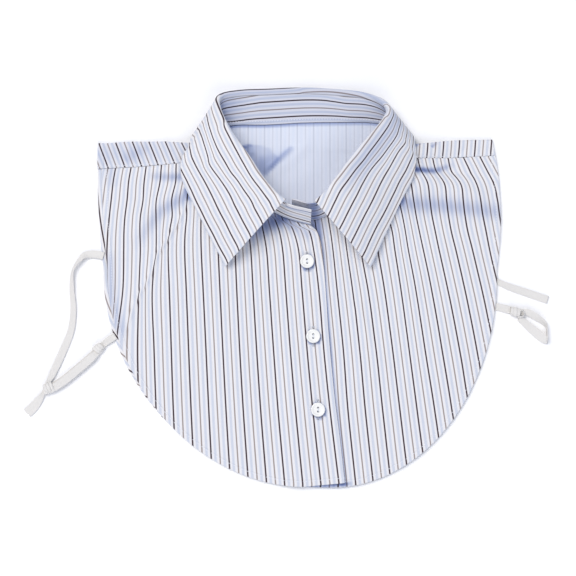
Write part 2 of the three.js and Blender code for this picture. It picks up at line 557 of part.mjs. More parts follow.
function knot({ place }) {
  return new THREE.SphereGeometry(0.5, KNOT_SIDES, KNOT_RINGS).rotateX(Math.PI / 2)
    .scale(KNOT_LENGTH, KNOT_WIDTH, KNOT_HEIGHT).translate(place.x, place.y, KNOT_HEIGHT / 2);
}

// The left loop is pressed flat, one ply over the other, with the strap between them near its end
function loopLeft() {
  const stem = stationsOf(LOOP_LEFT_STEM, SIDE_LEFT);
  const lower = stationsOf(LOOP_LEFT_PLY, SIDE_LEFT);
  const spread = 2 * (TAPE_WALL + CLEARANCE);
  const parted = (row) => spread * smooth(row, 0, TAPE_STEPS * 2);
  const upper = lower.map((station, row) => ({
    ...station, place: station.place.clone().add(point(0, 0, parted(row))) })).reverse();
  const end = lower[lower.length - 1];
  const bend = [-PLY_TURN, 0, PLY_TURN].map((degrees) => {
    const turn = THREE.MathUtils.degToRad(degrees);
    const place = end.place.clone().addScaledVector(end.ahead, spread / 2 * Math.cos(turn));
    place.z += spread / 2 * (1 + Math.sin(turn));
    return { ...end, place };
  });
  return [tape(stem), tape([...lower, ...bend, ...upper]), knot(stem[stem.length - 1])];
}

function loopRight() {
  const stem = stationsOf(LOOP_RIGHT_STEM, SIDE_RIGHT);
  return [tape(stem), tape(stationsOf(LOOP_RIGHT_RING, SIDE_RIGHT)), knot(stem[stem.length - 1])];
}

const joined = (geometries) => toGeometry(geometries.map(toSolid).reduce((all, next) => all.add(next)));

// Colours of the finished pieces
const POPLIN = 0xdfe5f2;
const POPLIN_INSIDE = 0xd3dcf0;
const BUTTON_WHITE = 0xf4f3ef;
const ELASTIC = 0xefeded;
const CLOTH_ROUGHNESS = 0.85;
const ELASTIC_ROUGHNESS = 0.8;
const BUTTON_ROUGHNESS = 0.35;

const assembly = new THREE.Group();
assembly.add(piece('back_panel', backPanel(), POPLIN_INSIDE, CLOTH_ROUGHNESS));
assembly.add(piece('front_panel_button', buttonPanel(), POPLIN, CLOTH_ROUGHNESS));
assembly.add(piece('front_panel_buttonhole', buttonholePanel(), POPLIN, CLOTH_ROUGHNESS));
assembly.add(piece('collar_stand', collarStand(), POPLIN, CLOTH_ROUGHNESS));
assembly.add(piece('collar_leaf', collarLeaf(), POPLIN, CLOTH_ROUGHNESS));

// Each button sits on the upper front panel, in from its edge
BUTTONS.forEach(({ name, along, inset }) => {
  let share = 0;
  while (placketCurve.getPointAt(share).y > along) share += EDGE_SEARCH;
  const mesh = piece(name, button(), BUTTON_WHITE, BUTTON_ROUGHNESS);
  const neckDistance = overNeckEnd.y - along;
  const surface = lerp(TOP_LEVEL, overNeckEnd.z, loft(neckDistance)) + CLOTH / 2;
  mesh.position.set(placketCurve.getPointAt(share).x - inset, along, surface + CLEARANCE);
  assembly.add(mesh);
});

assembly.add(piece('strap_left', tape(stationsOf(STRAP_LEFT_ROUTE, SIDE_LEFT)), ELASTIC, ELASTIC_ROUGHNESS));
assembly.add(piece('strap_right', tape(stationsOf(STRAP_RIGHT_ROUTE, SIDE_RIGHT)), ELASTIC, ELASTIC_ROUGHNESS));
assembly.add(piece('loop_left', joined(loopLeft()), ELASTIC, ELASTIC_ROUGHNESS));
assembly.add(piece('loop_right', joined(loopRight()), ELASTIC, ELASTIC_ROUGHNESS));

export default assembly;
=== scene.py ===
# %% [markdown]
# # A detachable shirt collar on a short bib
# The real object is a false shirt front: a collar on its stand, two short front panels that button
# together, a back panel, and elastic tapes that hold front to back at the sides. It is cut from striped
# cotton poplin and lies flat. Each cloth piece is built here from the curve that a cutter would know it
# by, such as the neck seam, the roll of the collar and the hem, and not from sculpted points.

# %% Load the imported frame
import math

import bpy
import numpy as np
from mathutils import Matrix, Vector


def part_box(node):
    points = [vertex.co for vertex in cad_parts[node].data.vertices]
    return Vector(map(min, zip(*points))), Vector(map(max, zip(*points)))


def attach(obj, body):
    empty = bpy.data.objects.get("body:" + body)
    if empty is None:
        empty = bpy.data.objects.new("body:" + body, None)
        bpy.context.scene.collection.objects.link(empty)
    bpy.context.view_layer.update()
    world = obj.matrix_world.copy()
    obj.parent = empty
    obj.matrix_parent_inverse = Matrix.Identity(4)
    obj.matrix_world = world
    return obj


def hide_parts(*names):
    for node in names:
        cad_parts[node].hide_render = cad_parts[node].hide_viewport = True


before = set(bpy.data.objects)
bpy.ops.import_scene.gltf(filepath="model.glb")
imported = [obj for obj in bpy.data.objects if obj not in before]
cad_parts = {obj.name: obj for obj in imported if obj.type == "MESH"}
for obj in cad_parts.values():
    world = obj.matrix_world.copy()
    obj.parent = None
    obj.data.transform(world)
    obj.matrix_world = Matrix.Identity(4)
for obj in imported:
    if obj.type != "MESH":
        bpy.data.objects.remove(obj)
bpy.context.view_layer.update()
MM = 0.001


# %% [markdown]
# The collar lies on a pale table and is seen from almost straight above, leaning a little towards the
# hem. A long lens keeps its width true. A broad light over the nape, a weaker one from the hem's side and a
# slightly blue sky give the soft cool shadows of a window, which is what makes white cotton look white.

# %% Camera, table and light
PIXEL = 0.82                      # millimetres of table to a pixel
PICTURE = 576                     # pixels along a side of the view
LOOK_AT = (-12.28, 9.95)          # the point of the table in the middle of the view, in millimetres
LEAN = math.radians(8)            # of the camera off the vertical
DISTANCE = 1000                   # millimetres
SENSOR = 36                       # millimetres
NEAREST = 0.01                    # metres from the camera to the first thing it draws
TABLE_SIZE, TABLE_DEPTH = 6, 0.0002
TABLE_COLOUR, TABLE_ROUGHNESS = (1.0, 0.985, 0.98), 0.9
LAMPS = {
    # name: place and width in metres, power in watts, colour
    "window": ((-1.4, 1.4, 3.3), 2.2, 94, (1.0, 0.965, 0.905)),
    "room": ((0.6, -2.6, 2.0), 2.2, 37, (0.99, 0.97, 0.95)),
}
SKY_COLOUR, SKY_STRENGTH = (0.70, 0.80, 1.0, 1), 0.52

camera_data = bpy.data.cameras.new("camera")
camera_data.sensor_width = SENSOR
camera_data.lens = DISTANCE / (PIXEL * PICTURE) * SENSOR
camera_data.clip_start = NEAREST
camera = bpy.data.objects.new("camera", camera_data)
camera.location = (LOOK_AT[0] * MM, (LOOK_AT[1] - DISTANCE * math.sin(LEAN)) * MM,
                   DISTANCE * math.cos(LEAN) * MM)
camera.rotation_euler = (LEAN, 0, 0)
bpy.context.collection.objects.link(camera)
bpy.context.scene.camera = camera


def plain_material(name, colour, roughness):
    """A surface with one colour, for the table."""
    material = bpy.data.materials.new(name)
    material.use_nodes = True
    shader = material.node_tree.nodes["Principled BSDF"]
    shader.inputs["Base Color"].default_value = (*colour, 1)
    shader.inputs["Roughness"].default_value = roughness
    return material


def table_top(size, depth):
    """A flat square of table, just under the cloth."""
    mesh = bpy.data.meshes.new("table_top")
    half = size / 2
    mesh.from_pydata([(-half, -half, -depth), (half, -half, -depth), (half, half, -depth),
                      (-half, half, -depth)], [], [(0, 1, 2, 3)])
    mesh.materials.append(plain_material("table_paint", TABLE_COLOUR, TABLE_ROUGHNESS))
    table = bpy.data.objects.new("table_top", mesh)
    bpy.context.collection.objects.link(table)
    return table


def soft_light(name, place, size, power, colour):
    """A square lamp that faces the middle of the collar."""
    data = bpy.data.lights.new(name, "AREA")
    data.size = size
    data.energy = power
    data.color = colour
    lamp = bpy.data.objects.new(name, data)
    lamp.location = place
    lamp.rotation_euler = (-lamp.location).to_track_quat("-Z", "Y").to_euler()
    bpy.context.collection.objects.link(lamp)


table_top(TABLE_SIZE, TABLE_DEPTH)
for name, lamp in LAMPS.items():
    soft_light(name, *lamp)
sky = bpy.data.worlds.new("sky")
sky.use_nodes = True
sky.node_tree.nodes["Background"].inputs["Color"].default_value = SKY_COLOUR
sky.node_tree.nodes["Background"].inputs["Strength"].default_value = SKY_STRENGTH
bpy.context.scene.world = sky
bpy.context.scene.view_settings.view_transform = "Standard"
print("camera lens", round(camera_data.lens, 1), "mm")

# %% [markdown]
# Three finishes cover the object: yarn-dyed poplin, white knitted elastic with its sewing thread, and
# pressed resin buttons. Their node trees are written out in code, so three short helpers come first: one
# adds a node with its inputs, one does arithmetic, and one opens a shared group.

# %% Node helpers
MIX_A, MIX_B, MIX_RESULT = 6, 7, 2  # sockets of a node that mixes two colours


def add_node(tree, kind, settings=(), **inputs):
    """A node with its properties and inputs set. An input that is a socket is linked."""
    node = tree.nodes.new(kind)
    for name, value in dict(settings).items():
        setattr(node, name, value)
    for name, value in inputs.items():
        key = int(name[1:]) if name[0] == "n" and name[1:].isdigit() else name.replace("_", " ")
        socket = node.inputs[key]
        if isinstance(value, bpy.types.NodeSocket):
            tree.links.new(value, socket)
        else:
            socket.default_value = value
    return node


def maths(tree, operation, *values):
    """One number worked out from others."""
    return add_node(tree, "ShaderNodeMath", {"operation": operation},
                    **{f"n{place}": value for place, value in enumerate(values)}).outputs[0]


def shader_group(name, inputs, outputs):
    """An empty node group with its named sockets."""
    tree = bpy.data.node_groups.new(name, "ShaderNodeTree")
    for label, kind in inputs:
        tree.interface.new_socket(label, in_out="INPUT", socket_type=kind)
    for label, kind in outputs:
        tree.interface.new_socket(label, in_out="OUTPUT", socket_type=kind)
    return tree, tree.nodes.new("NodeGroupInput").outputs, tree.nodes.new("NodeGroupOutput").inputs


# %% [markdown]
# The stripes are a shared group. A piece's texture map counts repeats of the woven pattern, so the
# distance to the nearest dark stripe, folded into half a repeat, picks the colour from a ramp: dark
# stripe, white ground, soft blue band, white ground and tan stripe.

# %% Stripes of the poplin
DARK = (0.062, 0.036, 0.043, 1)
TAN = (0.360, 0.300, 0.280, 1)
WHITE = (0.845, 0.820, 0.825, 1)
BLUE = (0.640, 0.665, 0.745, 1)

stripes_tree, given, made = shader_group("poplin_stripes", [("Across", "NodeSocketFloat")],
                                         [("Colour", "NodeSocketColor")])
place = maths(stripes_tree, "FRACT", given["Across"])
to_dark = maths(stripes_tree, "MULTIPLY", maths(stripes_tree, "ABSOLUTE",
                maths(stripes_tree, "SUBTRACT", place, 0.5)), 2.0)
ramp = add_node(stripes_tree, "ShaderNodeValToRGB", Fac=to_dark)
STOPS = ((0.0, TAN), (0.060, TAN), (0.095, WHITE), (0.30, WHITE), (0.42, BLUE), (0.60, BLUE), (0.72, WHITE),
         (0.895, WHITE), (0.925, DARK), (1.0, DARK))
colours = ramp.color_ramp.elements
while len(colours) < len(STOPS):
    colours.new(1.0)
for element, (stop, colour) in zip(colours, STOPS):
    element.position = stop
    element.color = colour
stripes_tree.links.new(ramp.outputs["Color"], made["Colour"])
print("stripe ramp:", len(ramp.color_ramp.elements), "stops")


# %% [markdown]
# Both textiles share one idea, a height that comes from counting threads along and across the cloth: where
# both counts are odd or both even, the thread on top rises. A little noise, stretched along the threads,
# stands for yarn that is not evenly thick.

# %% A weave's height
SLUB_LENGTH = 3.0                 # how finely the yarn's thickness changes along it, to a repeat
SLUB_SCALE, SLUB_DETAIL = 0.35, 2.0

weave_tree, given, made = shader_group(
    "plain_weave",
    [("Across", "NodeSocketFloat"), ("Along", "NodeSocketFloat"), ("Threads", "NodeSocketFloat")],
    [("Height", "NodeSocketFloat"), ("Slub", "NodeSocketFloat")])
turns = maths(weave_tree, "MULTIPLY", given["Threads"], math.pi)
over = maths(weave_tree, "SINE", maths(weave_tree, "MULTIPLY", given["Across"], turns))
under = maths(weave_tree, "SINE", maths(weave_tree, "MULTIPLY", given["Along"], turns))
height = maths(weave_tree, "MULTIPLY", over, under)
threads = add_node(weave_tree, "ShaderNodeCombineXYZ",
                   X=maths(weave_tree, "MULTIPLY", given["Across"], given["Threads"]),
                   Y=maths(weave_tree, "MULTIPLY", given["Along"], SLUB_LENGTH))
slub = add_node(weave_tree, "ShaderNodeTexNoise", {"noise_dimensions": "2D"}, Vector=threads.outputs[0],
                Scale=SLUB_SCALE, Detail=SLUB_DETAIL)
weave_tree.links.new(height, made["Height"])
weave_tree.links.new(slub.outputs["Fac"], made["Slub"])
print("weave tree:", len(weave_tree.nodes), "nodes")


# %% [markdown]
# White cotton in soft light turns blue in its hollows: light that has passed from one side of a fold to
# the other a few times has lost its red. That shade, and the shade that parts cast on each other, is
# painted into the colour here. Its depth is an attribute of each piece, and every colour is multiplied by
# a deep blue raised to that power, so deeper painted shade is both darker and bluer.

# %% Painted shade in hollows and under other parts
DEEPEST_PAINTED_SHADE = (0.10, 0.14, 0.34)      # what the deepest painted shade leaves of red, green and blue

painted_shade_tree, given, made = shader_group("painted_shade_group", [("Colour", "NodeSocketColor")],
                                        [("Colour", "NodeSocketColor")])
# the depth of the painted shade, read from an attribute of each piece
depth = add_node(painted_shade_tree, "ShaderNodeAttribute", {"attribute_name": "painted_shade"}).outputs["Fac"]
left_over = add_node(painted_shade_tree, "ShaderNodeCombineColor",
                     **{name: maths(painted_shade_tree, "POWER", share, depth)
                        for name, share in zip(("Red", "Green", "Blue"), DEEPEST_PAINTED_SHADE)})
shaded = add_node(painted_shade_tree, "ShaderNodeMix", {"data_type": "RGBA", "blend_type": "MULTIPLY"}, n0=1.0)
painted_shade_tree.links.new(given["Colour"], shaded.inputs[MIX_A])
painted_shade_tree.links.new(left_over.outputs[0], shaded.inputs[MIX_B])
painted_shade_tree.links.new(shaded.outputs[MIX_RESULT], made["Colour"])
print("deepest hollow keeps", DEEPEST_PAINTED_SHADE)


# %% [markdown]
# Poplin is matt with a slight sheen, and its wrong side is paler and bluer, because less of the dyed yarn
# floats there. The elastic and the thread have one colour each. Resin is harder and glossier, with a
# faint cloud in it.

# %% Poplin, thread, elastic and resin
THREADS = 44.0                    # threads of the weave to one repeat of the stripes
WRONG_SIDE = (0.735, 0.772, 0.878, 1)
FADED = 0.82                      # how far the stripes fade into that colour on the wrong side
SHEEN, SHEEN_ROUGHNESS, SHINE = 0.12, 0.5, 0.25
WEAVE_RELIEF = 0.00012            # metres that a thread stands out of the weave
POPLIN_ROUGHNESS, POPLIN_BUMP, POPLIN_TONES = 0.78, 0.25, (0.955, 1.03)
KNIT_THREADS, KNIT_ROUGHNESS, KNIT_BUMP, KNIT_DIP_SHADE = 1.6, 0.7, 1.0, 0.93
TWIST_SCALE, TWIST_BUMP, TWIST_RELIEF, THREAD_ROUGHNESS = 2500.0, 0.4, 0.0001, 0.6
CLOUD_SCALE, CLOUD_DETAIL, CLOUD_TONE = 420.0, 3.0, 0.94
RESIN_COAT, RESIN_ROUGHNESS = 0.25, (0.22, 0.38)
THREAD_COLOUR = (0.84, 0.86, 0.92)
ELASTIC_COLOUR = (0.865, 0.828, 0.785)
RESIN_COLOUR = (0.955, 0.935, 0.895)


def textile(name, threads, roughness, bump):
    """A cloth material that reads its piece's own texture map."""
    material = bpy.data.materials.new(name)
    material.use_nodes = True
    tree = material.node_tree
    shader = tree.nodes["Principled BSDF"]
    shader.inputs["Roughness"].default_value = roughness
    shader.inputs["Sheen Weight"].default_value = SHEEN
    shader.inputs["Sheen Roughness"].default_value = SHEEN_ROUGHNESS
    shader.inputs["Specular IOR Level"].default_value = SHINE
    cut = add_node(tree, "ShaderNodeUVMap", {"uv_map": "cut"})
    parts = add_node(tree, "ShaderNodeSeparateXYZ", Vector=cut.outputs[0])
    weave = add_node(tree, "ShaderNodeGroup", {"node_tree": weave_tree}, Across=parts.outputs["X"],
                     Along=parts.outputs["Y"], Threads=threads)
    relief = add_node(tree, "ShaderNodeBump", Strength=bump, Distance=WEAVE_RELIEF,
                      Height=weave.outputs["Height"])
    tree.links.new(relief.outputs["Normal"], shader.inputs["Normal"])
    return material, tree, shader, parts, weave


def poplin(name, faded):
    """The striped cloth, right side or paler wrong side."""
    material, tree, shader, parts, weave = textile(name, THREADS, POPLIN_ROUGHNESS, POPLIN_BUMP)
    lines = add_node(tree, "ShaderNodeGroup", {"node_tree": stripes_tree}, Across=parts.outputs["X"])
    muted = add_node(tree, "ShaderNodeMix", {"data_type": "RGBA"}, n0=faded)
    tree.links.new(lines.outputs["Colour"], muted.inputs[MIX_A])
    muted.inputs[MIX_B].default_value = WRONG_SIDE
    uneven = add_node(tree, "ShaderNodeMapRange", Value=weave.outputs["Slub"], To_Min=POPLIN_TONES[0],
                      To_Max=POPLIN_TONES[1])
    tone = add_node(tree, "ShaderNodeMix", {"data_type": "RGBA", "blend_type": "MULTIPLY"}, n0=1.0)
    tree.links.new(muted.outputs[MIX_RESULT], tone.inputs[MIX_A])
    tree.links.new(uneven.outputs["Result"], tone.inputs[MIX_B])
    # painted shade: the piece's shade depth makes the colour darker and bluer
    shade = add_node(tree, "ShaderNodeGroup", {"node_tree": painted_shade_tree}, Colour=tone.outputs[MIX_RESULT])
    tree.links.new(shade.outputs["Colour"], shader.inputs["Base Color"])
    return material


def knitted(name, colour):
    """One colour, with painted shade that makes it a little darker in the dips of the knit."""
    material, tree, shader, _, weave = textile(name, KNIT_THREADS, KNIT_ROUGHNESS, KNIT_BUMP)
    # painted shade: the colour is darker where the knit dips
    dip = add_node(tree, "ShaderNodeMapRange", Value=weave.outputs["Height"], From_Min=-1.0, To_Min=KNIT_DIP_SHADE,
                   To_Max=1.0)
    tone = add_node(tree, "ShaderNodeMix", {"data_type": "RGBA", "blend_type": "MULTIPLY"}, n0=1.0)
    tone.inputs[MIX_A].default_value = (*colour, 1)
    tree.links.new(dip.outputs["Result"], tone.inputs[MIX_B])
    tree.links.new(tone.outputs[MIX_RESULT], shader.inputs["Base Color"])
    return material


def spun(name, colour):
    """Thread, whose twist is too fine to see and only breaks up its shine."""
    material = bpy.data.materials.new(name)
    material.use_nodes = True
    tree = material.node_tree
    shader = tree.nodes["Principled BSDF"]
    shader.inputs["Base Color"].default_value = (*colour, 1)
    shader.inputs["Roughness"].default_value = THREAD_ROUGHNESS
    where = add_node(tree, "ShaderNodeTexCoord")
    twist = add_node(tree, "ShaderNodeTexNoise", Vector=where.outputs["Object"], Scale=TWIST_SCALE)
    relief = add_node(tree, "ShaderNodeBump", Strength=TWIST_BUMP, Distance=TWIST_RELIEF,
                      Height=twist.outputs["Fac"])
    tree.links.new(relief.outputs["Normal"], shader.inputs["Normal"])
    return material


def resin(name, colour):
    """Pressed resin with a faint cloud, hard and glossy."""
    material = bpy.data.materials.new(name)
    material.use_nodes = True
    tree = material.node_tree
    shader = tree.nodes["Principled BSDF"]
    shader.inputs["Coat Weight"].default_value = RESIN_COAT
    where = add_node(tree, "ShaderNodeTexCoord")
    cloud = add_node(tree, "ShaderNodeTexNoise", Vector=where.outputs["Object"], Scale=CLOUD_SCALE,
                     Detail=CLOUD_DETAIL)
    tint = add_node(tree, "ShaderNodeValToRGB", Fac=cloud.outputs["Fac"])
    tint.color_ramp.elements[0].color = (*[CLOUD_TONE * share for share in colour], 1)
    tint.color_ramp.elements[1].color = (*colour, 1)
    tree.links.new(tint.outputs["Color"], shader.inputs["Base Color"])
    worn = add_node(tree, "ShaderNodeMapRange", Value=cloud.outputs["Fac"], To_Min=RESIN_ROUGHNESS[0],
                    To_Max=RESIN_ROUGHNESS[1])
    tree.links.new(worn.outputs["Result"], shader.inputs["Roughness"])
    return material


POPLIN = poplin("striped_poplin", 0.0)
POPLIN_INSIDE = poplin("striped_poplin_inside", FADED)
THREAD = spun("sewing_thread", THREAD_COLOUR)
ELASTIC = knitted("white_elastic", ELASTIC_COLOUR)
RESIN = resin("white_resin", RESIN_COLOUR)
print("finishes:", [material.name for material in (POPLIN, POPLIN_INSIDE, THREAD, ELASTIC, RESIN)])

# %% [markdown]
# A collar maker draws three lines: the neck seam, the roll where the collar folds over, and the outer
# edge of the leaf. The table holds one row for each section round the neck, with the neck seam's place
# and the steps from it to the roll and from the roll to the edge. A smooth curve through the rows gives
# any section between them. Building from these lines keeps the stand and the leaf fitted to the bib.

# %% The collar's three lines
CLOTH = 1.0                       # wall of the solids that the cloth has to fill, in millimetres
LAYER = 1.4                       # from one layer of cloth to the next
BACK_LEVEL = 0.5
FRONT_LEVEL = BACK_LEVEL + LAYER
SHOULDER_LINE = 133.5
NECK_WIDTH = 160
NECK_REACH = 96
STAND_HEIGHT = 27
LEAF_WIDTH = 56
ROLL_RADIUS = 2.0
LEAF_SEAM_DROP = 3.5              # from the top of the roll's inside down to the leaf's seam
LEAF_BOW = 2.6                    # how far the leaf arches where it stands
EDGE_FOLD = 2.6                   # how far the left leaf's folded edge reaches past the drawn line
EDGE_FOLD_ROWS = (4.5, 7.0)       # rows of the table where that fold dies out
SEAM_START, SEAM_LAP = 0.3, 0.1   # gap at the neck seam, and lap at the leaf's seam
TINY_STEP = 0.002                 # part of a row
LIFTED_ROWS = 2                   # rows to each side of a shoulder fold where the stand is lifted

COLLAR = {
    # name: neck seam, rise to the roll, fall to the leaf's edge
    "left_tab": ((0.039, -0.756, 0.24), (0.02, 0.34, 0.98), None),
    "left_front": ((-0.097, -0.688, 0.28), (0.03, 0.36, 0.88), (-0.84, -0.87, -0.43)),
    "left_mid": ((-0.246, -0.545, 0.37), (0.30, 0.48, 0.74), (-0.80, -0.68, -0.38)),
    "left_rise": ((-0.349, -0.367, 0.44), (0.47, 0.54, 0.62), (-0.79, -0.61, -0.35)),
    "left_seam": ((-0.442, -0.183, 0.44), (0.54, 0.57, 0.58), (-0.74, -0.55, -0.30)),
    "left_flap": ((-0.495, -0.088, 0.35), (0.54, 0.82, 0.54), (-0.59, -0.53, -0.19)),
    "left_turn": ((-0.502, -0.008, 0.22), (0.42, 1.00, 0.48), (-0.44, -0.59, -0.12)),
    "left_side": ((-0.487, 0.048, 0.19), (0.31, 1.03, 0.38), (-0.39, -0.52, -0.17)),
    "left_nape": ((-0.451, 0.096, 0.15), (0.19, 1.05, 0.28), (-0.27, -0.61, -0.18)),
    "back_left": ((-0.348, 0.131, 0.11), (0.09, 1.08, 0.15), (-0.24, -0.73, -0.115)),
    "back_near": ((-0.191, 0.136, 0.10), (0.06, 1.12, 0.10), (-0.12, -0.79, -0.087)),
    "back": ((0.001, 0.154, 0.10), (0.00, 1.10, 0.07), (0.00, -0.82, -0.072)),
    "back_far": ((0.184, 0.158, 0.10), (-0.09, 1.03, 0.10), (0.10, -0.79, -0.087)),
    "back_right": ((0.356, 0.153, 0.11), (-0.25, 0.92, 0.19), (0.27, -0.69, -0.134)),
    "right_nape": ((0.469, 0.114, 0.15), (-0.45, 0.82, 0.35), (0.34, -0.53, -0.22)),
    "right_side": ((0.505, 0.057, 0.19), (-0.49, 0.81, 0.47), (0.41, -0.42, -0.215)),
    "right_turn": ((0.519, -0.008, 0.22), (-0.51, 0.82, 0.59), (0.41, -0.50, -0.15)),
    "right_flap": ((0.501, -0.097, 0.35), (-0.56, 0.77, 0.63), (0.50, -0.52, -0.235)),
    "right_seam": ((0.437, -0.183, 0.44), (-0.55, 0.60, 0.63), (0.63, -0.58, -0.33)),
    "right_rise": ((0.344, -0.358, 0.44), (-0.52, 0.60, 0.70), (0.72, -0.59, -0.39)),
    "right_mid": ((0.226, -0.545, 0.37), (-0.38, 0.49, 0.78), (0.76, -0.70, -0.41)),
    "right_front": ((0.072, -0.699, 0.17), (-0.08, 0.39, 0.94), (0.82, -0.91, -0.41)),
    "right_tab": ((-0.061, -0.645, 0.14), (0.00, 0.30, 0.97), None),
}
SECTIONS = list(COLLAR)
LAST = len(SECTIONS) - 1


def row_of(name):
    return SECTIONS.index(name)


def unit(vectors):
    return vectors / np.linalg.norm(vectors, axis=-1, keepdims=True)


def lerp(a, b, share):
    return a + (b - a) * share


def smooth(value, low, high):
    """0 below low, 1 above high and an even S between."""
    share = np.clip((np.asarray(value, float) - low) / (high - low), 0, 1)
    return share * share * (3 - 2 * share)


def plateau(value, start, rise, fall, end):
    """0 outside start and end, and 1 between rise and fall."""
    return smooth(value, start, rise) * (1 - smooth(value, fall, end))


def bump(away, width):
    """1 at no distance, fading to nothing at about twice the width."""
    return np.exp(-((away / width) ** 2))


def smooth_curve(points):
    """The curve through a list of points, as a function of the place in the list."""
    points = np.asarray(points, float)
    ends = np.vstack([2 * points[0] - points[1], points, 2 * points[-1] - points[-2]])

    def at(place):
        place = np.clip(np.asarray(place, float), 0, len(points) - 1)
        start = np.minimum(place.astype(int), len(points) - 2)
        t = (place - start)[..., None]
        a, b, c, d = (ends[start + k] for k in range(4))
        ab, bc, cd = (np.sqrt(np.linalg.norm(q - p, axis=-1, keepdims=True))
                      for p, q in ((a, b), (b, c), (c, d)))
        leave = ((b - a) / ab - (c - a) / (ab + bc) + (c - b) / bc) * bc
        arrive = ((c - b) / bc - (d - b) / (bc + cd) + (d - c) / cd) * bc
        return ((2 * t**3 - 3 * t**2 + 1) * b + (t**3 - 2 * t**2 + t) * leave
                + (3 * t**2 - 2 * t**3) * c + (t**3 - t**2) * arrive)

    return at


neck_points = np.array([neck for neck, rise, fall in COLLAR.values()])
neck_points = neck_points * (NECK_WIDTH, NECK_REACH, STAND_HEIGHT) + (0, SHOULDER_LINE, 0)
roll_points = neck_points + np.array([rise for neck, rise, fall in COLLAR.values()]) * STAND_HEIGHT
leaf_rows = [row for row, (neck, rise, fall) in enumerate(COLLAR.values()) if fall]
edge_points = roll_points[leaf_rows] + LEAF_WIDTH * np.array([fall for *_, fall in COLLAR.values() if fall])
neck_at = smooth_curve(neck_points)
roll_at = smooth_curve(roll_points)
edge_curve = smooth_curve(edge_points)


def edge_at(rows):
    return edge_curve(np.asarray(rows) - leaf_rows[0])


def edge_fold(rows):
    """How far the folded edge of the leaf reaches past the drawn line, in millimetres."""
    return EDGE_FOLD * (1 - smooth(rows, *EDGE_FOLD_ROWS))


def length_of(points):
    return float(np.linalg.norm(np.diff(points, axis=0), axis=-1).sum())


every_row = np.linspace(0, LAST, 200)
print("neck seam", round(length_of(neck_at(every_row))), "mm")
print("roll", round(length_of(roll_at(every_row))), "mm")

# %% [markdown]
# A section of the collar climbs from the neck seam, turns over the roll and falls to the leaf's edge.
# The roll is a small arc that touches both straight runs, as interlined cotton bends. The leaf arches a
# little where it stands over the front and lies flatter at the nape, where its own weight presses it.

# %% Sections of stand and leaf
def collar_section(rows):
    """Directions and the roll's arc for many sections at once."""
    neck, roll, edge = neck_at(rows), roll_at(rows), edge_at(rows)
    down = unit(neck - roll)
    out = unit(edge - roll)
    tip = -unit(down + out)
    ahead = roll_at(rows + TINY_STEP) - roll_at(rows - TINY_STEP)
    inward = unit(np.cross(ahead, tip))

    def sweep_to(line, side):
        rise = side * (line * inward).sum(-1)
        return math.pi / 2 - np.maximum(0, np.arctan2(rise, -(line * tip).sum(-1)))

    def on_roll(angle):
        turn = np.asarray(angle)[..., None]
        return roll + ROLL_RADIUS * (tip * (np.cos(turn) - 1) + inward * np.sin(turn))

    return neck, edge, on_roll, sweep_to(down, 1), sweep_to(out, -1)


def beside_fold(rows):
    """1 where the stand crosses the shoulder fold, whose thickness lifts it, and 0 away from it."""
    turns = [row_of("left_turn"), row_of("right_turn")]
    return np.maximum(0, np.max([1 - np.abs(rows - turn) / LIFTED_ROWS for turn in turns], axis=0))


def stand_surface(rows, shares):
    """Points of the stand, a row for each share of the way from the neck seam to the leaf's seam."""
    neck, _, on_roll, stand_sweep, _ = collar_section(rows)
    top = on_roll(stand_sweep)
    length = np.linalg.norm(top - neck, axis=-1)
    direction = (top - neck) / length[:, None]
    start = SEAM_START + CLOTH / 2 * np.maximum(0, direction[:, 2]) + LAYER * beside_fold(rows)
    end = length - LEAF_SEAM_DROP - SEAM_LAP
    return np.array([neck + direction * lerp(start, end, share)[:, None] for share in shares])


def leaf_surface(rows, roll_shares, leaf_shares):
    """Points of the leaf: its seam, the roll from inside to outside, and the fall to its edge."""
    neck, edge, on_roll, stand_sweep, leaf_sweep = collar_section(rows)
    inner, outer = on_roll(stand_sweep), on_roll(-leaf_sweep)
    edge = edge + unit(edge - outer) * edge_fold(rows)[:, None]
    seam = inner + unit(neck - inner) * (LEAF_SEAM_DROP - SEAM_LAP)
    lines = [lerp(seam, inner, share) for share in (0, 0.5)]
    for share in roll_shares:
        lines.append(on_roll(share * np.where(share > 0, stand_sweep, leaf_sweep)))
    lifted = smooth(outer[:, 2], STAND_HEIGHT / 3, STAND_HEIGHT)
    for share in leaf_shares:
        place = lerp(outer, edge, share)
        lying = lerp(outer[:, 2], edge[:, 2], 1 - (1 - share) ** 3)
        arched = place[:, 2] + LEAF_BOW * 4 * share * (1 - share)
        place[:, 2] = np.maximum(BACK_LEVEL, lerp(lying, arched, lifted))
        lines.append(place)
    return np.array(lines)

# %% [markdown]
# The bib's edges are a nearly straight side and a round hem. The hem follows a superellipse, the curve
# that a round object drawn a little too square has, so that two numbers set its fullness. The upper
# front edge bends where the buttons hold it, so it has a short table of its own.

# %% Edges of the bib
SIDE_LEFT, SIDE_RIGHT = 163.8, 159
CHEST_LINE = 24.6
HEM_DEPTH = 151
RIGHT_HEM_DROP = 0.6              # how much lower the right front hangs
SIDE_SHARE = 0.26                 # share of the outer edge above the chest line
FLAP_LEFT, FLAP_RIGHT = 21.5, 12.6
PLACKET_FOOT = 33.2
UNDERLAP = 32
BACK_SHOWS, BACK_HIDES = 3.6, 3.0

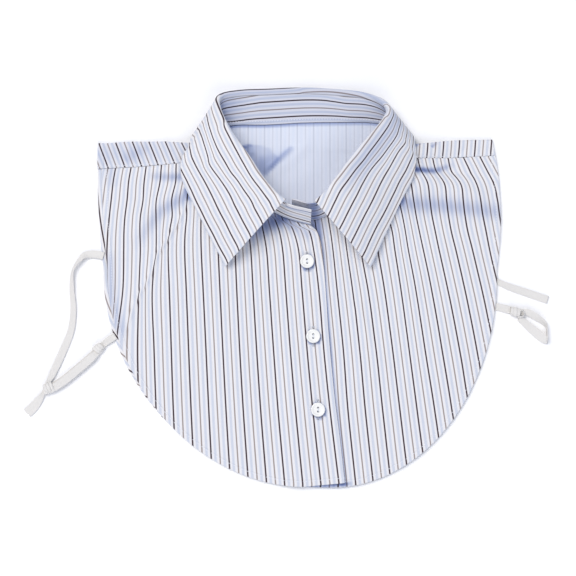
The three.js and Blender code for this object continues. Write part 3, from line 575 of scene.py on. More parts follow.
EDGES = {
    # the outer edge of each half: its side, where its round hem starts from the middle and how full it is,
    # how its side leans and bows, how low it hangs, and the share of it that the outer edge takes
    "front_left": dict(sign=-1, side=SIDE_LEFT - BACK_SHOWS, level=-0.8, power=1.9, flare=0.041, bow=0.012,
                       drop=HEM_DEPTH, turn=0.93),
    "front_right": dict(sign=1, side=SIDE_RIGHT, level=22, power=2, flare=-0.006, bow=0.03,
                        drop=HEM_DEPTH + RIGHT_HEM_DROP, turn=0.95),
    "back_left": dict(sign=-1, side=SIDE_LEFT, level=-0.8, power=1.9, flare=0.041, bow=0.012,
                      drop=HEM_DEPTH - BACK_HIDES, turn=1),
    "back_right": dict(sign=1, side=SIDE_RIGHT - BACK_HIDES, level=22, power=2, flare=-0.006, bow=0.03,
                       drop=HEM_DEPTH - BACK_HIDES, turn=1),
}


def edge_of(half, top, share):
    """Plan points of a half's edge from the shoulder, share 0, down the side and round the hem."""
    half = EDGES[half]
    share = np.atleast_1d(np.asarray(share, float))
    y = lerp(top, CHEST_LINE, np.minimum(share / SIDE_SHARE, 1))
    up = (y - CHEST_LINE) / (SHOULDER_LINE - CHEST_LINE)
    lean = 1 + half["flare"] * up + half["bow"] * 4 * up * (1 - up)
    turn = np.clip((share - SIDE_SHARE) / (1 - SIDE_SHARE), 0, 1) * math.pi / 2
    reach = half["side"] - half["sign"] * half["level"]
    round_x = half["level"] + half["sign"] * reach * np.maximum(np.cos(turn), 0) ** (2 / half["power"])
    round_y = CHEST_LINE - (half["drop"] + CHEST_LINE) * np.sin(turn) ** (2 / half["power"])
    side = share < SIDE_SHARE
    return np.stack([np.where(side, half["sign"] * half["side"] * lean, round_x),
                     np.where(side, y, round_y)], axis=-1)


PLACKET_POINTS = 800
PLACKET = ((0.32, 0.018), (0.42, 0.053), (0.506, 0.153), (0.572, 0.288), (0.617, 0.409), (0.762, 0.668),
           (0.886, 0.833))
over_neck, under_neck = neck_at(0.0), neck_at(float(LAST))
over_foot = np.array([PLACKET_FOOT, -HEM_DEPTH + BACK_HIDES])
under_foot = np.array([PLACKET_FOOT - UNDERLAP, -HEM_DEPTH])
placket_points = [over_neck[:2]]
for across, down in PLACKET:
    placket_points.append((across * PLACKET_FOOT, lerp(over_neck[1], over_foot[1], down)))
placket_points.append(over_foot)
placket_curve = smooth_curve(placket_points)
placket_line = placket_curve(np.linspace(0, len(placket_points) - 1, PLACKET_POINTS))
placket_paced = np.concatenate([[0], np.cumsum(np.linalg.norm(np.diff(placket_line, axis=0), axis=1))])
placket_paced /= placket_paced[-1]


def placket_at(share):
    """The upper front edge by its share of the whole length."""
    return np.stack([np.interp(share, placket_paced, placket_line[:, axis]) for axis in (0, 1)], axis=-1)


print("upper front edge", round(length_of(placket_line)), "mm long")

# %% [markdown]
# Cotton that has been worn and laid down keeps soft folds: long drags from the collar points to the side
# and short ones under the shoulder seam. Each is a smooth ridge with fading ends, given by points along
# its crest, its height and its width. Painted shade, in the hollows and where parts shade the cloth, is
# given the same way, with its depth. Beneath the folds the whole cloth moves a few tenths of a millimetre,
# which a few seeded waves in random directions describe well, because they never repeat visibly.

# %% Folds and the liveliness of the cloth
FOLDS = {
    # panel: points along the crest, height, width, cloth taken up on the way across
    "front_left": ((((-94, 83), (-102, 66), (-110, 52), (-119, 38), (-126, 18), (-135, 2), (-146, -29)),
                    1.3, 1.5, 1.6),
                   (((-94, 86), (-112, 60), (-128, 22), (-142, -20)), 1.3, 9.0, 0.0),
                   (((-98, 96), (-122, 74), (-140, 50)), 1.5, 6.0, 0.0),
                   (((-131, 108), (-112, 108), (-94, 106)), 1.5, 4.0, 0.0)),
    "front_right": ((((90, 108), (120, 107), (150, 104)), -1.0, 2.6, 0.0),
                    (((92, 99), (122, 93), (152, 83)), 2.2, 8.0, 0.0),
                    (((44, -3), (50, -20), (54, -36)), 0.8, 4.0, 0.5)),
}


PATH_STEPS = 60
RIDGE_ENDS, PAINTED_SHADE_ENDS = (-0.1, 0.15, 0.8, 1.1), (-0.15, 0.02, 0.9, 1.2)


def beside_path(points, x, y):
    """Distance to the left of a smooth path of points, and the share of the path's length there."""
    line = smooth_curve(points)(np.linspace(0, len(points) - 1, PATH_STEPS))
    paced = np.concatenate([[0], np.cumsum(np.linalg.norm(np.diff(line, axis=0), axis=1))])
    way = unit(np.gradient(line, axis=0))
    gap = np.stack([x, y], axis=-1)[..., None, :] - line
    near = np.argmin((gap * gap).sum(-1), axis=-1)
    here = np.take_along_axis(gap, near[..., None, None], axis=-2)[..., 0, :]
    ahead = (here * way[near]).sum(-1)
    aside = here[..., 1] * way[near][..., 0] - here[..., 0] * way[near][..., 1]
    return aside, (paced[near] + ahead) / paced[-1]


def fold_shape(panel, x, y):
    """Height of the soft folds, and how far they carry the cloth's stripes across."""
    height, carried = np.zeros_like(x), np.zeros_like(x)
    for points, rise, width, taken in FOLDS.get(panel, ()):
        aside, share = beside_path(points, x, y)
        ridge = bump(aside, width) * plateau(share, *RIDGE_ENDS)
        height += rise * ridge
        carried += taken * (aside / width) * ridge
    return height, carried


WAVE_STRETCH = (0.6, 1.7)         # the shortest and the longest wave, as shares of the size


def waves(x, y, seed, size, height, count=7):
    """A gentle uneven surface: waves about size long, in random directions, height high together."""
    chance = np.random.default_rng(seed)
    total = np.zeros_like(x)
    headings = chance.uniform(0, math.pi, count)
    stretches = chance.uniform(*WAVE_STRETCH, count)
    starts = chance.uniform(0, 2 * math.pi, count)
    for heading, stretch, start in zip(headings, stretches, starts):
        along = (x * math.cos(heading) + y * math.sin(heading)) / (size * stretch)
        total += np.sin(2 * math.pi * along + start) / math.sqrt(count)
    return total * height


BUTTONS = ("button_top", "button_middle", "button_bottom")
# where the painted shade under each button lies, and how deep it is
BUTTON_PAINTED_SHADE = dict(aside=0.5, below=0.9, depth=0.55, full=5.0, end=6.8)
# painted shade on the panels: in their hollows and where other parts shade them
PAINTED_SHADES = {
    # panel: points along the painted shade, width or widths to its left and right, its depth at its start and
    # end
    "front_left": ((((-46, 53), (-34, 60), (-22, 65.5), (-13, 69)), 6.5, 0.32, 0.70),
                   (((-10, 62), (0, 56), (6, 52)), 5.0, 0.16, 0.10),
                   (((-160, 34), (-157, 5), (-148, -26)), 5.0, 0.10, 0.12),
                   (((-124, 103), (-110, 102), (-96, 101.5)), 3.2, 0.10, 0.30),
                   (((-96, 92), (-94.3, 83)), 1.7, 0.50, 0.35),
                   (((-96, 86), (-107, 79.5), (-117, 73), (-127, 59.6), (-134, 48)), 5.0, 0.22, 0.06),
                   (((-160, 110), (-158, 95)), 5.0, 0.08, 0.06)),
    "front_right": ((((88, 108.2), (97, 107.6), (109, 107.6), (122, 112)), 2.1, 0.95, 0.12),
                    (((80, 79.5), (98, 79), (113, 78.5), (136, 76), (162, 73)), 6.5, 0.22, 0.16),
                    (((76, 77), (80, 80.5), (84, 84)), 2.6, 0.40, 0.30),
                    (((8.5, 74), (11, 63), (12.5, 52)), 4.2, 0.55, 0.30),
                    (((12, 60), (18, 40), (22, 20)), 5.0, 0.12, 0.0),
                    (((11, 57), (14.4, 49.9), (17.3, 29), (19.5, 0.8), (21, -24.6), (25.8, -78.7),
                      (29.9, -113), (33.7, -148)), 1.4, 0.20, 0.30),
                    (((0, -151.6), (17, -150.2), (33.5, -148.8)), 1.4, 0.10, 0.80)),
    "back": ((((-49, 124), (-41, 118), (-31, 107)), 6.0, 0.22, 0.16),
             (((-20, 117.5), (-26.5, 110.5), (-31, 105)), (1.2, 9.0), 0.16, 0.20),
             (((-50, 128.4), (-38, 128.6), (-26, 126)), (1.0, 7.0), 0.18, 0.05),
             (((-10, 126.5), (-18, 119.5), (-26.5, 110.5)), 1.9, 0.20, 0.30),
             (((-34, 117), (-22, 119), (-12, 124)), 4.5, 0.12, 0.05),
             (((-50, 128), (-42.5, 129.4)), 1.1, 0.45, 0.20),
             (((-72, 142.7), (-55.7, 146.1), (-30.6, 146.6), (0.2, 148.3), (29.4, 148.7), (57, 148.2),
               (75, 144.4)), 1.6, 0.60, 0.35),
             (((92, 127), (98, 131)), 1.3, 0.35, 0.20),
             (((107, 127), (111, 131)), 1.3, 0.30, 0.15),
             (((-170, 121), (-130, 124), (-90, 124)), 11.0, 0.09, 0.05),
             (((-146, 117), (-138, 124), (-130, 127)), 4.5, 0.10, 0.06)),
}


def painted_shade_under_buttons(x, y):
    """Painted shade under and just below the buttons, seen through their holes and round their lower edges.
    """
    depth = np.zeros_like(x)
    for node in BUTTONS:
        low, high = (np.array(corner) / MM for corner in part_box(node))
        away = np.hypot(x - (low[0] + high[0]) / 2 - BUTTON_PAINTED_SHADE["aside"],
                        y - (low[1] + high[1]) / 2 + BUTTON_PAINTED_SHADE["below"])
        depth += BUTTON_PAINTED_SHADE["depth"] * (1 - smooth(away, BUTTON_PAINTED_SHADE["full"], BUTTON_PAINTED_SHADE["end"]))
    return depth


def painted_shade_of(panel, x, y):
    """Depth of the painted shade on a panel, in its hollows and under the parts that lie over it."""
    depth = painted_shade_under_buttons(x, y) if panel == "front_left" else np.zeros_like(x)
    for points, width, first, last in PAINTED_SHADES[panel]:
        aside, share = beside_path(points, x, y)
        width = np.where(aside > 0, *np.broadcast_to(width, 2))
        depth += lerp(first, last, np.clip(share, 0, 1)) * bump(aside, width) * plateau(share, *PAINTED_SHADE_ENDS)
    return np.clip(depth, 0, 1)


print("folds:", {panel: len(rows) for panel, rows in FOLDS.items()},
      "hollows:", {panel: len(rows) for panel, rows in PAINTED_SHADES.items()})

# %% [markdown]
# Every cloth piece becomes a closed wall: the middle surface pushed half a thickness to both sides. The
# wall is thicker where a hem is turned and thins to nothing at a folded edge, so edges look soft. The
# texture map counts stripes across and cloth along, in repeats of the woven pattern, so the stripes
# follow the cut of each piece as real ones do.

# %% A wall of cloth from a grid of points
REPEAT = 14.0                     # millimetres of cloth from one dark stripe to the next
WALL = 0.45                       # one thickness of poplin, drawn a little full
# distances from a hem's edge to the lines of the grid, close together at the edge, stitches and inner fold
EDGE_STEPS = np.array([0, 0.07, 0.18, 0.35, 0.7, 1.5, 2.4, 3.1, 3.6, 4.0, 4.4, 4.8, 5.1, 5.4, 5.8, 6.6, 8.0])
HEM_WIDTH = 5.2
STITCH_INSET = 4.0                # from a hem's edge to its line of stitches
THINNEST = 0.12                   # share of the wall that is left at the very edge


def round_off(distance, wall):
    """Share of the wall left at a distance from a folded edge, so that the edge is round."""
    away = np.clip(1 - distance / (wall / 2), 0, 1)
    return np.maximum(np.sqrt(1 - away * away), THINNEST)


def normals_of(middle):
    down = np.gradient(middle, axis=0)
    across = np.gradient(middle, axis=1)
    return unit(np.cross(down, across))


def cloth_wall(name, middle, wall, stripes, materials, wrong_side=None, turned_over=False, painted_shade=None):
    """A closed wall round a grid of points. stripes is the texture map. wrong_side says, for each grid
    point, whether the cloth's inner face shows its wrong side there. The inner face looks against the
    grid's normals, or along them if the grid is turned over. painted_shade is the depth of the painted shade."""
    rows, columns = middle.shape[:2]
    offset = normals_of(middle) * (np.broadcast_to(wall, (rows, columns))[..., None] / 2)
    points = np.concatenate([(middle + offset).reshape(-1, 3), (middle - offset).reshape(-1, 3)]) * MM
    index = np.arange(rows * columns).reshape(rows, columns)
    under = index + rows * columns
    face = [index[:-1, :-1], index[1:, :-1], index[1:, 1:], index[:-1, 1:]]
    back = [under[:-1, :-1], under[:-1, 1:], under[1:, 1:], under[1:, :-1]]
    quads = [np.stack(face, -1).reshape(-1, 4), np.stack(back, -1).reshape(-1, 4)]
    for loop in (index[:, 0], index[-1, :], index[::-1, -1], index[0, ::-1]):
        low = loop + rows * columns
        quads.append(np.stack([loop[:-1], low[:-1], low[1:], loop[1:]], -1))
    quads = np.concatenate(quads)
    a, b, c, d = (points[quads[:, k]] for k in range(4))
    volume = (np.cross(b - a, c - a) * a).sum() + (np.cross(c - a, d - a) * a).sum()
    if volume < 0:
        quads = quads[:, ::-1]
    mesh = bpy.data.meshes.new(name)
    mesh.from_pydata(points.tolist(), [], quads.tolist())
    layer = mesh.uv_layers.new(name="cut")
    corners = np.concatenate([stripes.reshape(-1, 2)] * 2)[quads.reshape(-1)]
    layer.data.foreach_set("uv", corners.reshape(-1).astype(np.float32))
    for material in materials:
        mesh.materials.append(material)
    if wrong_side is not None:
        faces = [np.zeros(rows * columns, bool), wrong_side.reshape(-1)]
        shows = np.concatenate(faces[::-1] if turned_over else faces)
        mesh.polygons.foreach_set("material_index", shows[quads].all(axis=1).astype(np.int32))
    # the depth of the painted shade, which the poplin's material reads
    if painted_shade is not None:
        depths = mesh.attributes.new("painted_shade", "FLOAT", "POINT")
        depths.data.foreach_set("value", np.tile(painted_shade.reshape(-1), 2).astype(np.float32))
    mesh.shade_smooth()
    mesh.update()
    piece = bpy.data.objects.new(name, mesh)
    bpy.context.collection.objects.link(piece)
    print(name, len(quads), "faces")
    return piece

# %% [markdown]
# Each front panel is a patch stretched between four curves: the neck seam, the shoulder seam, the outer
# edge and the front edge. Blending four curves this way keeps every one of them exact. Near the neck the
# patch climbs to the seam, and towards the hem it lies on the layer beneath.

# %% Front panels
LOFT_REACH, BACK_REACH = 60, 42
SEAM_GAP, SEAM_DIP = 0.12, 0.25
DIP_WIDTH, PINCH_WIDTH, PINCH, PINCHED = 0.9, 0.4, 0.6, 0.3
NECK_STEPS, PANEL_COLUMNS = 78, 200
FIRST_COLUMNS, LAST_COLUMNS = (0, 0.0006, 0.0015), (0.9965, 0.9982, 0.9992, 0.9997, 1)
INNER_COLUMNS = (0.004, 0.994)
SIDES = (POPLIN, POPLIN_INSIDE)
HEM_FULL, HEM_LIFT = 0.9, 0.45    # how much thicker the turned hem is, and how far it lifts, in walls
HEM_STEP = (HEM_WIDTH - 0.5, HEM_WIDTH + 0.2)
PUCKER = dict(seed=3, size=9.0, height=0.10)
PUCKER_WIDTH, GROOVE_WIDTH, GROOVE = 3.2, 0.45, 0.13
LIVELY = ((46, 0.22), (19, 0.07))  # size and height of the waves in the fronts
NO_FRONT_EDGE = 99                # a distance that no hem reaches
DIP_START = 2                     # from the hem's edge to where the seam's dip is full
HEM_MARGIN = 2                    # grid columns without a stitch at each end of a hem


def loft(distance, reach=LOFT_REACH):
    """How much of the neck seam's height is left at a distance from it."""
    return 1 - smooth(distance, 0, reach)


SAG_SEAM = (2.4, 1.2)             # of the left seam, from its outer end to the collar
SAG_FOLD, FOLD_HUMP = 3.0, 1.8    # of the left fold, and the hump in its middle
SAG_RIGHT = 4.8                   # of the right fold beside the collar
SEAM_ENDS, HUMP_ENDS, RIGHT_ENDS = (-165, -90), (-168, -140, -118, -94), (80, 135)
SAG_START, SAG_FREE = 80, 8       # y below which the seam doesn't sag, and reach of the neck's hold
SAG_FULL_LEFT, SAG_FULL_RIGHT = 1, 0.5  # how far below the shoulder line the sag is full


def shoulder_sag(plan):
    """How far the shoulder folds and the left shoulder seam sag towards the hem, away from the neck."""
    x, y = plan[..., 0], plan[..., 1]
    up = smooth(y, SHOULDER_LINE - FLAP_LEFT, SHOULDER_LINE - SAG_FULL_LEFT)
    seam = lerp(*SAG_SEAM, smooth(x, *SEAM_ENDS)) * smooth(y, SAG_START, SHOULDER_LINE - FLAP_LEFT)
    fold = SAG_FOLD - FOLD_HUMP * plateau(x, *HUMP_ENDS)
    right = SAG_RIGHT * (1 - smooth(x, *RIGHT_ENDS))
    right = right * smooth(y, SHOULDER_LINE - FLAP_RIGHT, SHOULDER_LINE - SAG_FULL_RIGHT)
    from_neck = np.linalg.norm(plan - plan[:1], axis=-1)
    return np.where(x < 0, lerp(seam, fold, up), right) * smooth(from_neck, 0, SAG_FREE)


def seam_dip(seam, share=1):
    """How deep the cloth dips along a seam, and the share of its wall that is left there."""
    dip = SEAM_DIP * bump(seam, DIP_WIDTH) * share
    return dip, np.maximum(PINCHED, 1 - PINCH * bump(seam, PINCH_WIDTH) * share)


UNDERLAP_STEP = (-25, -5)         # how the upper front climbs on to the lower one's edge


def underlap_rise(x, y):
    """The upper front panel is lifted by the lower one beneath it."""
    share = (under_neck[1] - y) / (under_neck[1] - under_foot[1])
    hidden = lerp(under_neck[0], under_foot[0], share)
    return LAYER * smooth(x - hidden, *UNDERLAP_STEP)


def front_patch(panel, seam_row, end_row, flap, foot, front_edge):
    """Plan points, neck heights and outer lengths of a front panel, from the neck outwards."""
    half = EDGES[panel]
    seam_side = edge_of(panel, SHOULDER_LINE - flap, 0)[0] - (0, SEAM_GAP)
    columns = np.concatenate([FIRST_COLUMNS, np.linspace(*INNER_COLUMNS, PANEL_COLUMNS), LAST_COLUMNS])
    neck = neck_at(lerp(seam_row, end_row, columns))
    turn = half["turn"]
    rim = edge_of(panel, seam_side[1], columns / turn)
    foot_share = np.clip((columns - turn) / (1 - turn), 0, 1)[:, None]
    rim = np.where(columns[:, None] > turn, lerp(edge_of(panel, seam_side[1], 1), foot, foot_share), rim)
    reach = np.linalg.norm(rim - neck[:, :2], axis=1)
    inner = np.linspace(0, 1, NECK_STEPS)[:, None] * (1 - EDGE_STEPS[-1] / reach)
    u = np.concatenate([inner, 1 - EDGE_STEPS[-2::-1, None] / reach])[..., None]
    v = columns[None, :, None]
    start, end = neck[0, :2], neck[-1, :2]
    corners = (1 - u) * (1 - v) * start + u * (1 - v) * seam_side + (1 - u) * v * end + u * v * foot
    plan = (lerp(neck[None, :, :2], rim[None], u) + lerp(lerp(start, seam_side, u), front_edge(u[..., 0]), v)
            - corners)
    plan[..., 1] -= SEAM_GAP * (1 - u[..., 0]) * (1 - v[..., 0]) + shoulder_sag(plan)
    held = loft(u[..., 0] * reach)
    return plan, neck[:, 2], held


def hem_shape(plan, hem, folded_end):
    """Thickness, lift and little puckers of a turned hem, from the distance to the hem's edge."""
    steps = np.linalg.norm(np.diff(plan[-1], axis=0), axis=1)
    along = np.concatenate([[0], np.cumsum(steps)])[None, :]
    folded = 1 - smooth(np.minimum(hem, folded_end), *HEM_STEP)
    wall = WALL * (1 + HEM_FULL * folded)
    wall = wall * round_off(np.minimum(hem, folded_end), wall)
    pucker = waves(along + 0 * hem, hem * 0, **PUCKER) * bump(hem - STITCH_INSET, PUCKER_WIDTH)
    groove = -GROOVE * bump(hem - STITCH_INSET, GROOVE_WIDTH)
    return wall, WALL * HEM_LIFT * folded + pucker + groove


def front_panel(name, panel, patch, stripes_of, rise, turned_over, seed):
    """The cloth of one front, its upper surface and the line of its hem stitches."""
    plan, neck_height, held = patch
    x, y = plan[..., 0], plan[..., 1]
    hem = np.linalg.norm(plan - plan[-1:], axis=-1)
    front = np.linalg.norm(plan - plan[:, -1:], axis=-1)
    seam = np.linalg.norm(plan - plan[:, :1], axis=-1)
    fold, carried = fold_shape(panel, x, y)
    wall, lift = hem_shape(plan, hem, front)
    free = 1 - held
    z = lerp(FRONT_LEVEL + rise(x, y), neck_height[None, :], held)
    z = z + (fold + waves(x, y, seed, *LIVELY[0]) + waves(x, y, seed + 1, *LIVELY[1])) * free + lift
    dip, pinched = seam_dip(seam)
    z = z - dip * smooth(hem, 0, DIP_START)
    wall = wall * pinched
    stripes = np.stack([stripes_of(x, y) + carried / REPEAT, y / REPEAT], axis=-1)
    turned = np.minimum(hem, front) < HEM_WIDTH
    piece = cloth_wall(name, np.concatenate([plan, z[..., None]], -1), wall, stripes, SIDES, ~turned,
                       turned_over, painted_shade_of(panel, x, y))
    line = int(np.argmin(np.abs(hem[:, PANEL_COLUMNS // 2] - STITCH_INSET)))
    surface = np.concatenate([plan, (z + wall / 2)[..., None]], -1)
    return piece, surface, surface[line, HEM_MARGIN:-HEM_MARGIN]

# %% [markdown]
# On the laid-down object the stripes fan, lean and jog, because the cloth is not quite flat. The tables
# give, for a few levels of the bib, where some of the dark stripes cross it. Counting stripes between
# them gives every point of the cloth its place in the pattern, as a pattern cutter chalks it.

# %% Where the stripes run
LEFT_STRIPES = (-1, 0, 1, 2, 3, 5, 7, 9, 10, 11, 12)
LEFT_LEVELS = {
    110.0: (-155.3, -142.6, -130.0, -117.1, -104.7, -81.1, -56.2, -33.8, -22.2, -11.5, -0.7),
    98.1: (-157.1, -144.3, -131.5, -118.3, -105.0, -81.8, -57.0, -34.6, -23.0, -12.3, -1.5),
    82.9: (-158.5, -145.3, -132.1, -121.1, -108.2, -82.9, -57.7, -35.4, -24.3, -13.9, -3.2),
    69.4: (-159.7, -146.8, -133.9, -121.1, -107.7, -83.8, -57.6, -35.4, -24.0, -13.9, -3.2),
    56.0: (-160.6, -147.4, -134.1, -120.6, -109.9, -84.0, -56.7, -32.6, -19.4, -7.8, 5.2),
    41.0: (-161.0, -147.3, -133.6, -120.5, -110.8, -83.6, -55.8, -29.9, -16.7, -3.7, 8.7),
    7.9: (-160.2, -147.4, -134.1, -123.4, -109.3, -81.7, -54.2, -27.5, -14.1, -0.8, 12.9),
    -41.3: (-160.0, -152.0, -134.4, -121.1, -107.1, -78.9, -51.5, -24.0, -10.4, 3.2, 16.8),
    -89.8: (-159.0, -147.0, -132.4, -118.7, -104.8, -76.2, -48.4, -20.3, -6.2, 7.7, 21.6),
    -148.7: (-156.2, -142.6, -129.0, -115.0, -101.0, -72.6, -43.9, -14.9, -0.5, 14.0, 28.5),
}
RIGHT_STRIPES = (0, 2, 4, 5, 6, 7, 8, 9, 10, 11)
RIGHT_LEVELS = {
    119.3: (2.7, 29.2, 55.0, 68.2, 81.1, 94.2, 107.1, 120.4, 133.5, 147.4),
    108.3: (5.1, 31.6, 57.3, 70.6, 83.9, 97.0, 109.9, 123.0, 138.4, 152.7),
    96.4: (9.2, 34.9, 61.4, 75.4, 88.8, 102.9, 117.0, 130.5, 143.9, 158.3),
    82.9: (15.8, 38.9, 65.4, 78.6, 91.1, 104.9, 118.8, 132.4, 146.8, 160.8),
    70.3: (19.9, 42.1, 68.9, 81.7, 93.2, 106.5, 120.1, 133.8, 148.5, 162.1),
    57.7: (22.3, 44.9, 73.1, 84.1, 95.7, 108.8, 122.0, 135.6, 150.7, 163.8),
    41.0: (24.6, 47.3, 75.6, 86.7, 99.0, 111.9, 125.7, 139.4, 153.6, 166.7),
    7.9: (27.9, 53.2, 80.2, 92.3, 105.3, 118.6, 132.5, 146.4, 160.2, 173.3),
    -41.3: (32.7, 59.3, 86.2, 99.1, 112.9, 127.2, 141.2, 155.3, 169.1, 182.5),
    -89.8: (36.1, 64.1, 91.9, 106.1, 120.0, 134.0, 148.1, 162.3, 176.4, 190.1),
    -148.7: (41.9, 70.1, 98.8, 113.2, 127.6, 142.0, 156.0, 170.0, 184.4, 198.0),
}


LINE_POINTS = 240


def stripe_counter(numbers, levels):
    """A function that counts stripes at any plan point, from where some of them cross a few levels."""
    heights = sorted(levels)
    lines = []
    for place in range(len(numbers)):
        curve = smooth_curve([(y, levels[y][place]) for y in heights])
        run = curve(np.linspace(0, len(heights) - 1, LINE_POINTS))
        lines.append((run[:, 0], run[:, 1]))

    def count(x, y):
        crossing = np.array([np.interp(y, *line) for line in lines])
        total = np.zeros_like(x)
        for k in range(len(numbers) - 1):
            share = (x - crossing[k]) / (crossing[k + 1] - crossing[k])
            value = lerp(numbers[k], numbers[k + 1], share)
            total = value if k == 0 else np.where(x > crossing[k], value, total)
        return total

    return count


NECK_STRIP, STRIP_SHIFT = 4.4, 0.4
STRIP_POINTS, STRIP_PAST = 30, 0.3  # points along the strip, and rows that it runs on under the leaf


def over_count(x, y):
    """Stripes of the upper front, with a jog at the narrow strip that is turned up along the neck."""
    seam = neck_at(np.linspace(0, leaf_rows[0] + STRIP_PAST, STRIP_POINTS))[:, :2]
    away = np.min([np.hypot(x - place[0], y - place[1]) for place in seam], axis=0)
    return left_count(x, y) + STRIP_SHIFT * (away < NECK_STRIP)


left_count = stripe_counter(LEFT_STRIPES, LEFT_LEVELS)
right_count = stripe_counter(RIGHT_STRIPES, RIGHT_LEVELS)
print("stripes followed:", len(LEFT_STRIPES), "on the left front,", len(RIGHT_STRIPES), "on the right front")

# %% [markdown]
# With the curves and the stripes known, the two fronts are one call each. The left one lies over the
# right one at the buttons, so only it is lifted by what lies beneath. The seed starts the small waves.

# %% The two front panels
left_patch = front_patch("front_left", row_of("left_seam"), 0, FLAP_LEFT, over_foot, placket_at)
right_patch = front_patch("front_right", row_of("right_seam"), LAST, FLAP_RIGHT, under_foot,
                          lambda share: lerp(under_neck[:2], under_foot, share[..., None]))
front_over, over_surface, over_stitches = front_panel(
    "front_panel_buttonhole_cloth", "front_left", left_patch, over_count, underlap_rise,
    turned_over=False, seed=11)
front_under, _, under_stitches = front_panel(
    "front_panel_button_cloth", "front_right", right_patch, right_count, lambda x, y: 0 * x,
    turned_over=True, seed=23)

# %% [markdown]
# The back panel is cut in one with two shoulder flaps, which fold over to the front and are sewn to the
# front panels there. It is built as ribs from the neck seam outwards: over the left flap, round the
# shoulder fold, across the back and up again on the right. The same count of ribs bends round each fold.

# %% Back panel
BACK_COLUMNS, BACK_ROWS, BACK_CROWD = 220, 124, 1.15
FLAP_REACH = 2.8                  # how far the right flap reaches past the back's own edge
FLAP_FADE = 14                    # where that reach ends, below the shoulder
SEAM_RIBS, FLAP_RIBS = (1, 0.985, 0.96), (0.92, 0.03, 22)
ROLL_RIBS = (90, -75, 12)         # degrees round the shoulder fold, from the flap to the back
BACK_LIFT = 0.3                   # share of the hem's lift on the back, which is pressed flat
BACK_WAVES, FLAP_WAVES = (5, 40, 0.10), (9, 17, 0.30)


def back_ribs():
    """Neck point, outer point, level, loft's reach, push round the fold and place in the cloth."""
    ribs = []

    def flap(half, seam_row, turn_row, depth):
        run = []
        for k in np.concatenate([SEAM_RIBS, np.linspace(*FLAP_RIBS)]):
            neck = neck_at(lerp(turn_row, seam_row, k))
            neck[2] += (1 - k) * LAYER
            y = SHOULDER_LINE - k * depth
            outer = edge_of(half, y, 0)[0] * (1, 0) + (0, y)
            run.append((neck, outer, FRONT_LEVEL, LOFT_REACH, 0.0, k * depth))
        return run

    def roll(half, turn_row):
        run = []
        for degrees in np.linspace(*ROLL_RIBS):
            turn = math.radians(degrees)
            over = (1 + math.sin(turn)) / 2
            neck = neck_at(float(turn_row))
            neck[2] += over * LAYER
            run.append((neck, edge_of(half, SHOULDER_LINE, 0)[0], BACK_LEVEL + over * LAYER,
                        lerp(BACK_REACH, LOFT_REACH, over), LAYER / 2 * math.cos(turn), 0.0))
        return run

    left_turn, right_turn = row_of("left_turn"), row_of("right_turn")
    ribs += flap("back_left", row_of("left_seam"), left_turn, FLAP_LEFT) + roll("back_left", left_turn)
    for v in np.linspace(0, 1, BACK_COLUMNS):
        half, share = ("back_left", v * 2) if v < 0.5 else ("back_right", 2 - v * 2)
        ribs.append((neck_at(lerp(left_turn, right_turn, v)), edge_of(half, SHOULDER_LINE, share)[0],
                     BACK_LEVEL, BACK_REACH, 0.0, 0.0))
    ribs += roll("back_right", right_turn)[::-1]
    ribs += flap("back_right", row_of("right_seam"), right_turn, FLAP_RIGHT)[::-1]
    return ribs


# the stripes across the back: where the first and last counted ones lie, and how unevenly they spread
FOLD_STRIPES = dict(start=-169.3, end=157.2, count=24, ease=-0.44)
FLAP_LEAN_LEFT, FLAP_LEAN_RIGHT = 0.37, -0.10


def back_count(x, depth):
    """Stripes across the back, and leaning on the flaps that fold to the front."""
    lean = np.where(x < 0, FLAP_LEAN_LEFT, FLAP_LEAN_RIGHT)
    share = (x - lean * depth - FOLD_STRIPES["start"]) / (FOLD_STRIPES["end"] - FOLD_STRIPES["start"])
    return FOLD_STRIPES["count"] * share + FOLD_STRIPES["ease"] * share * (1 - share)


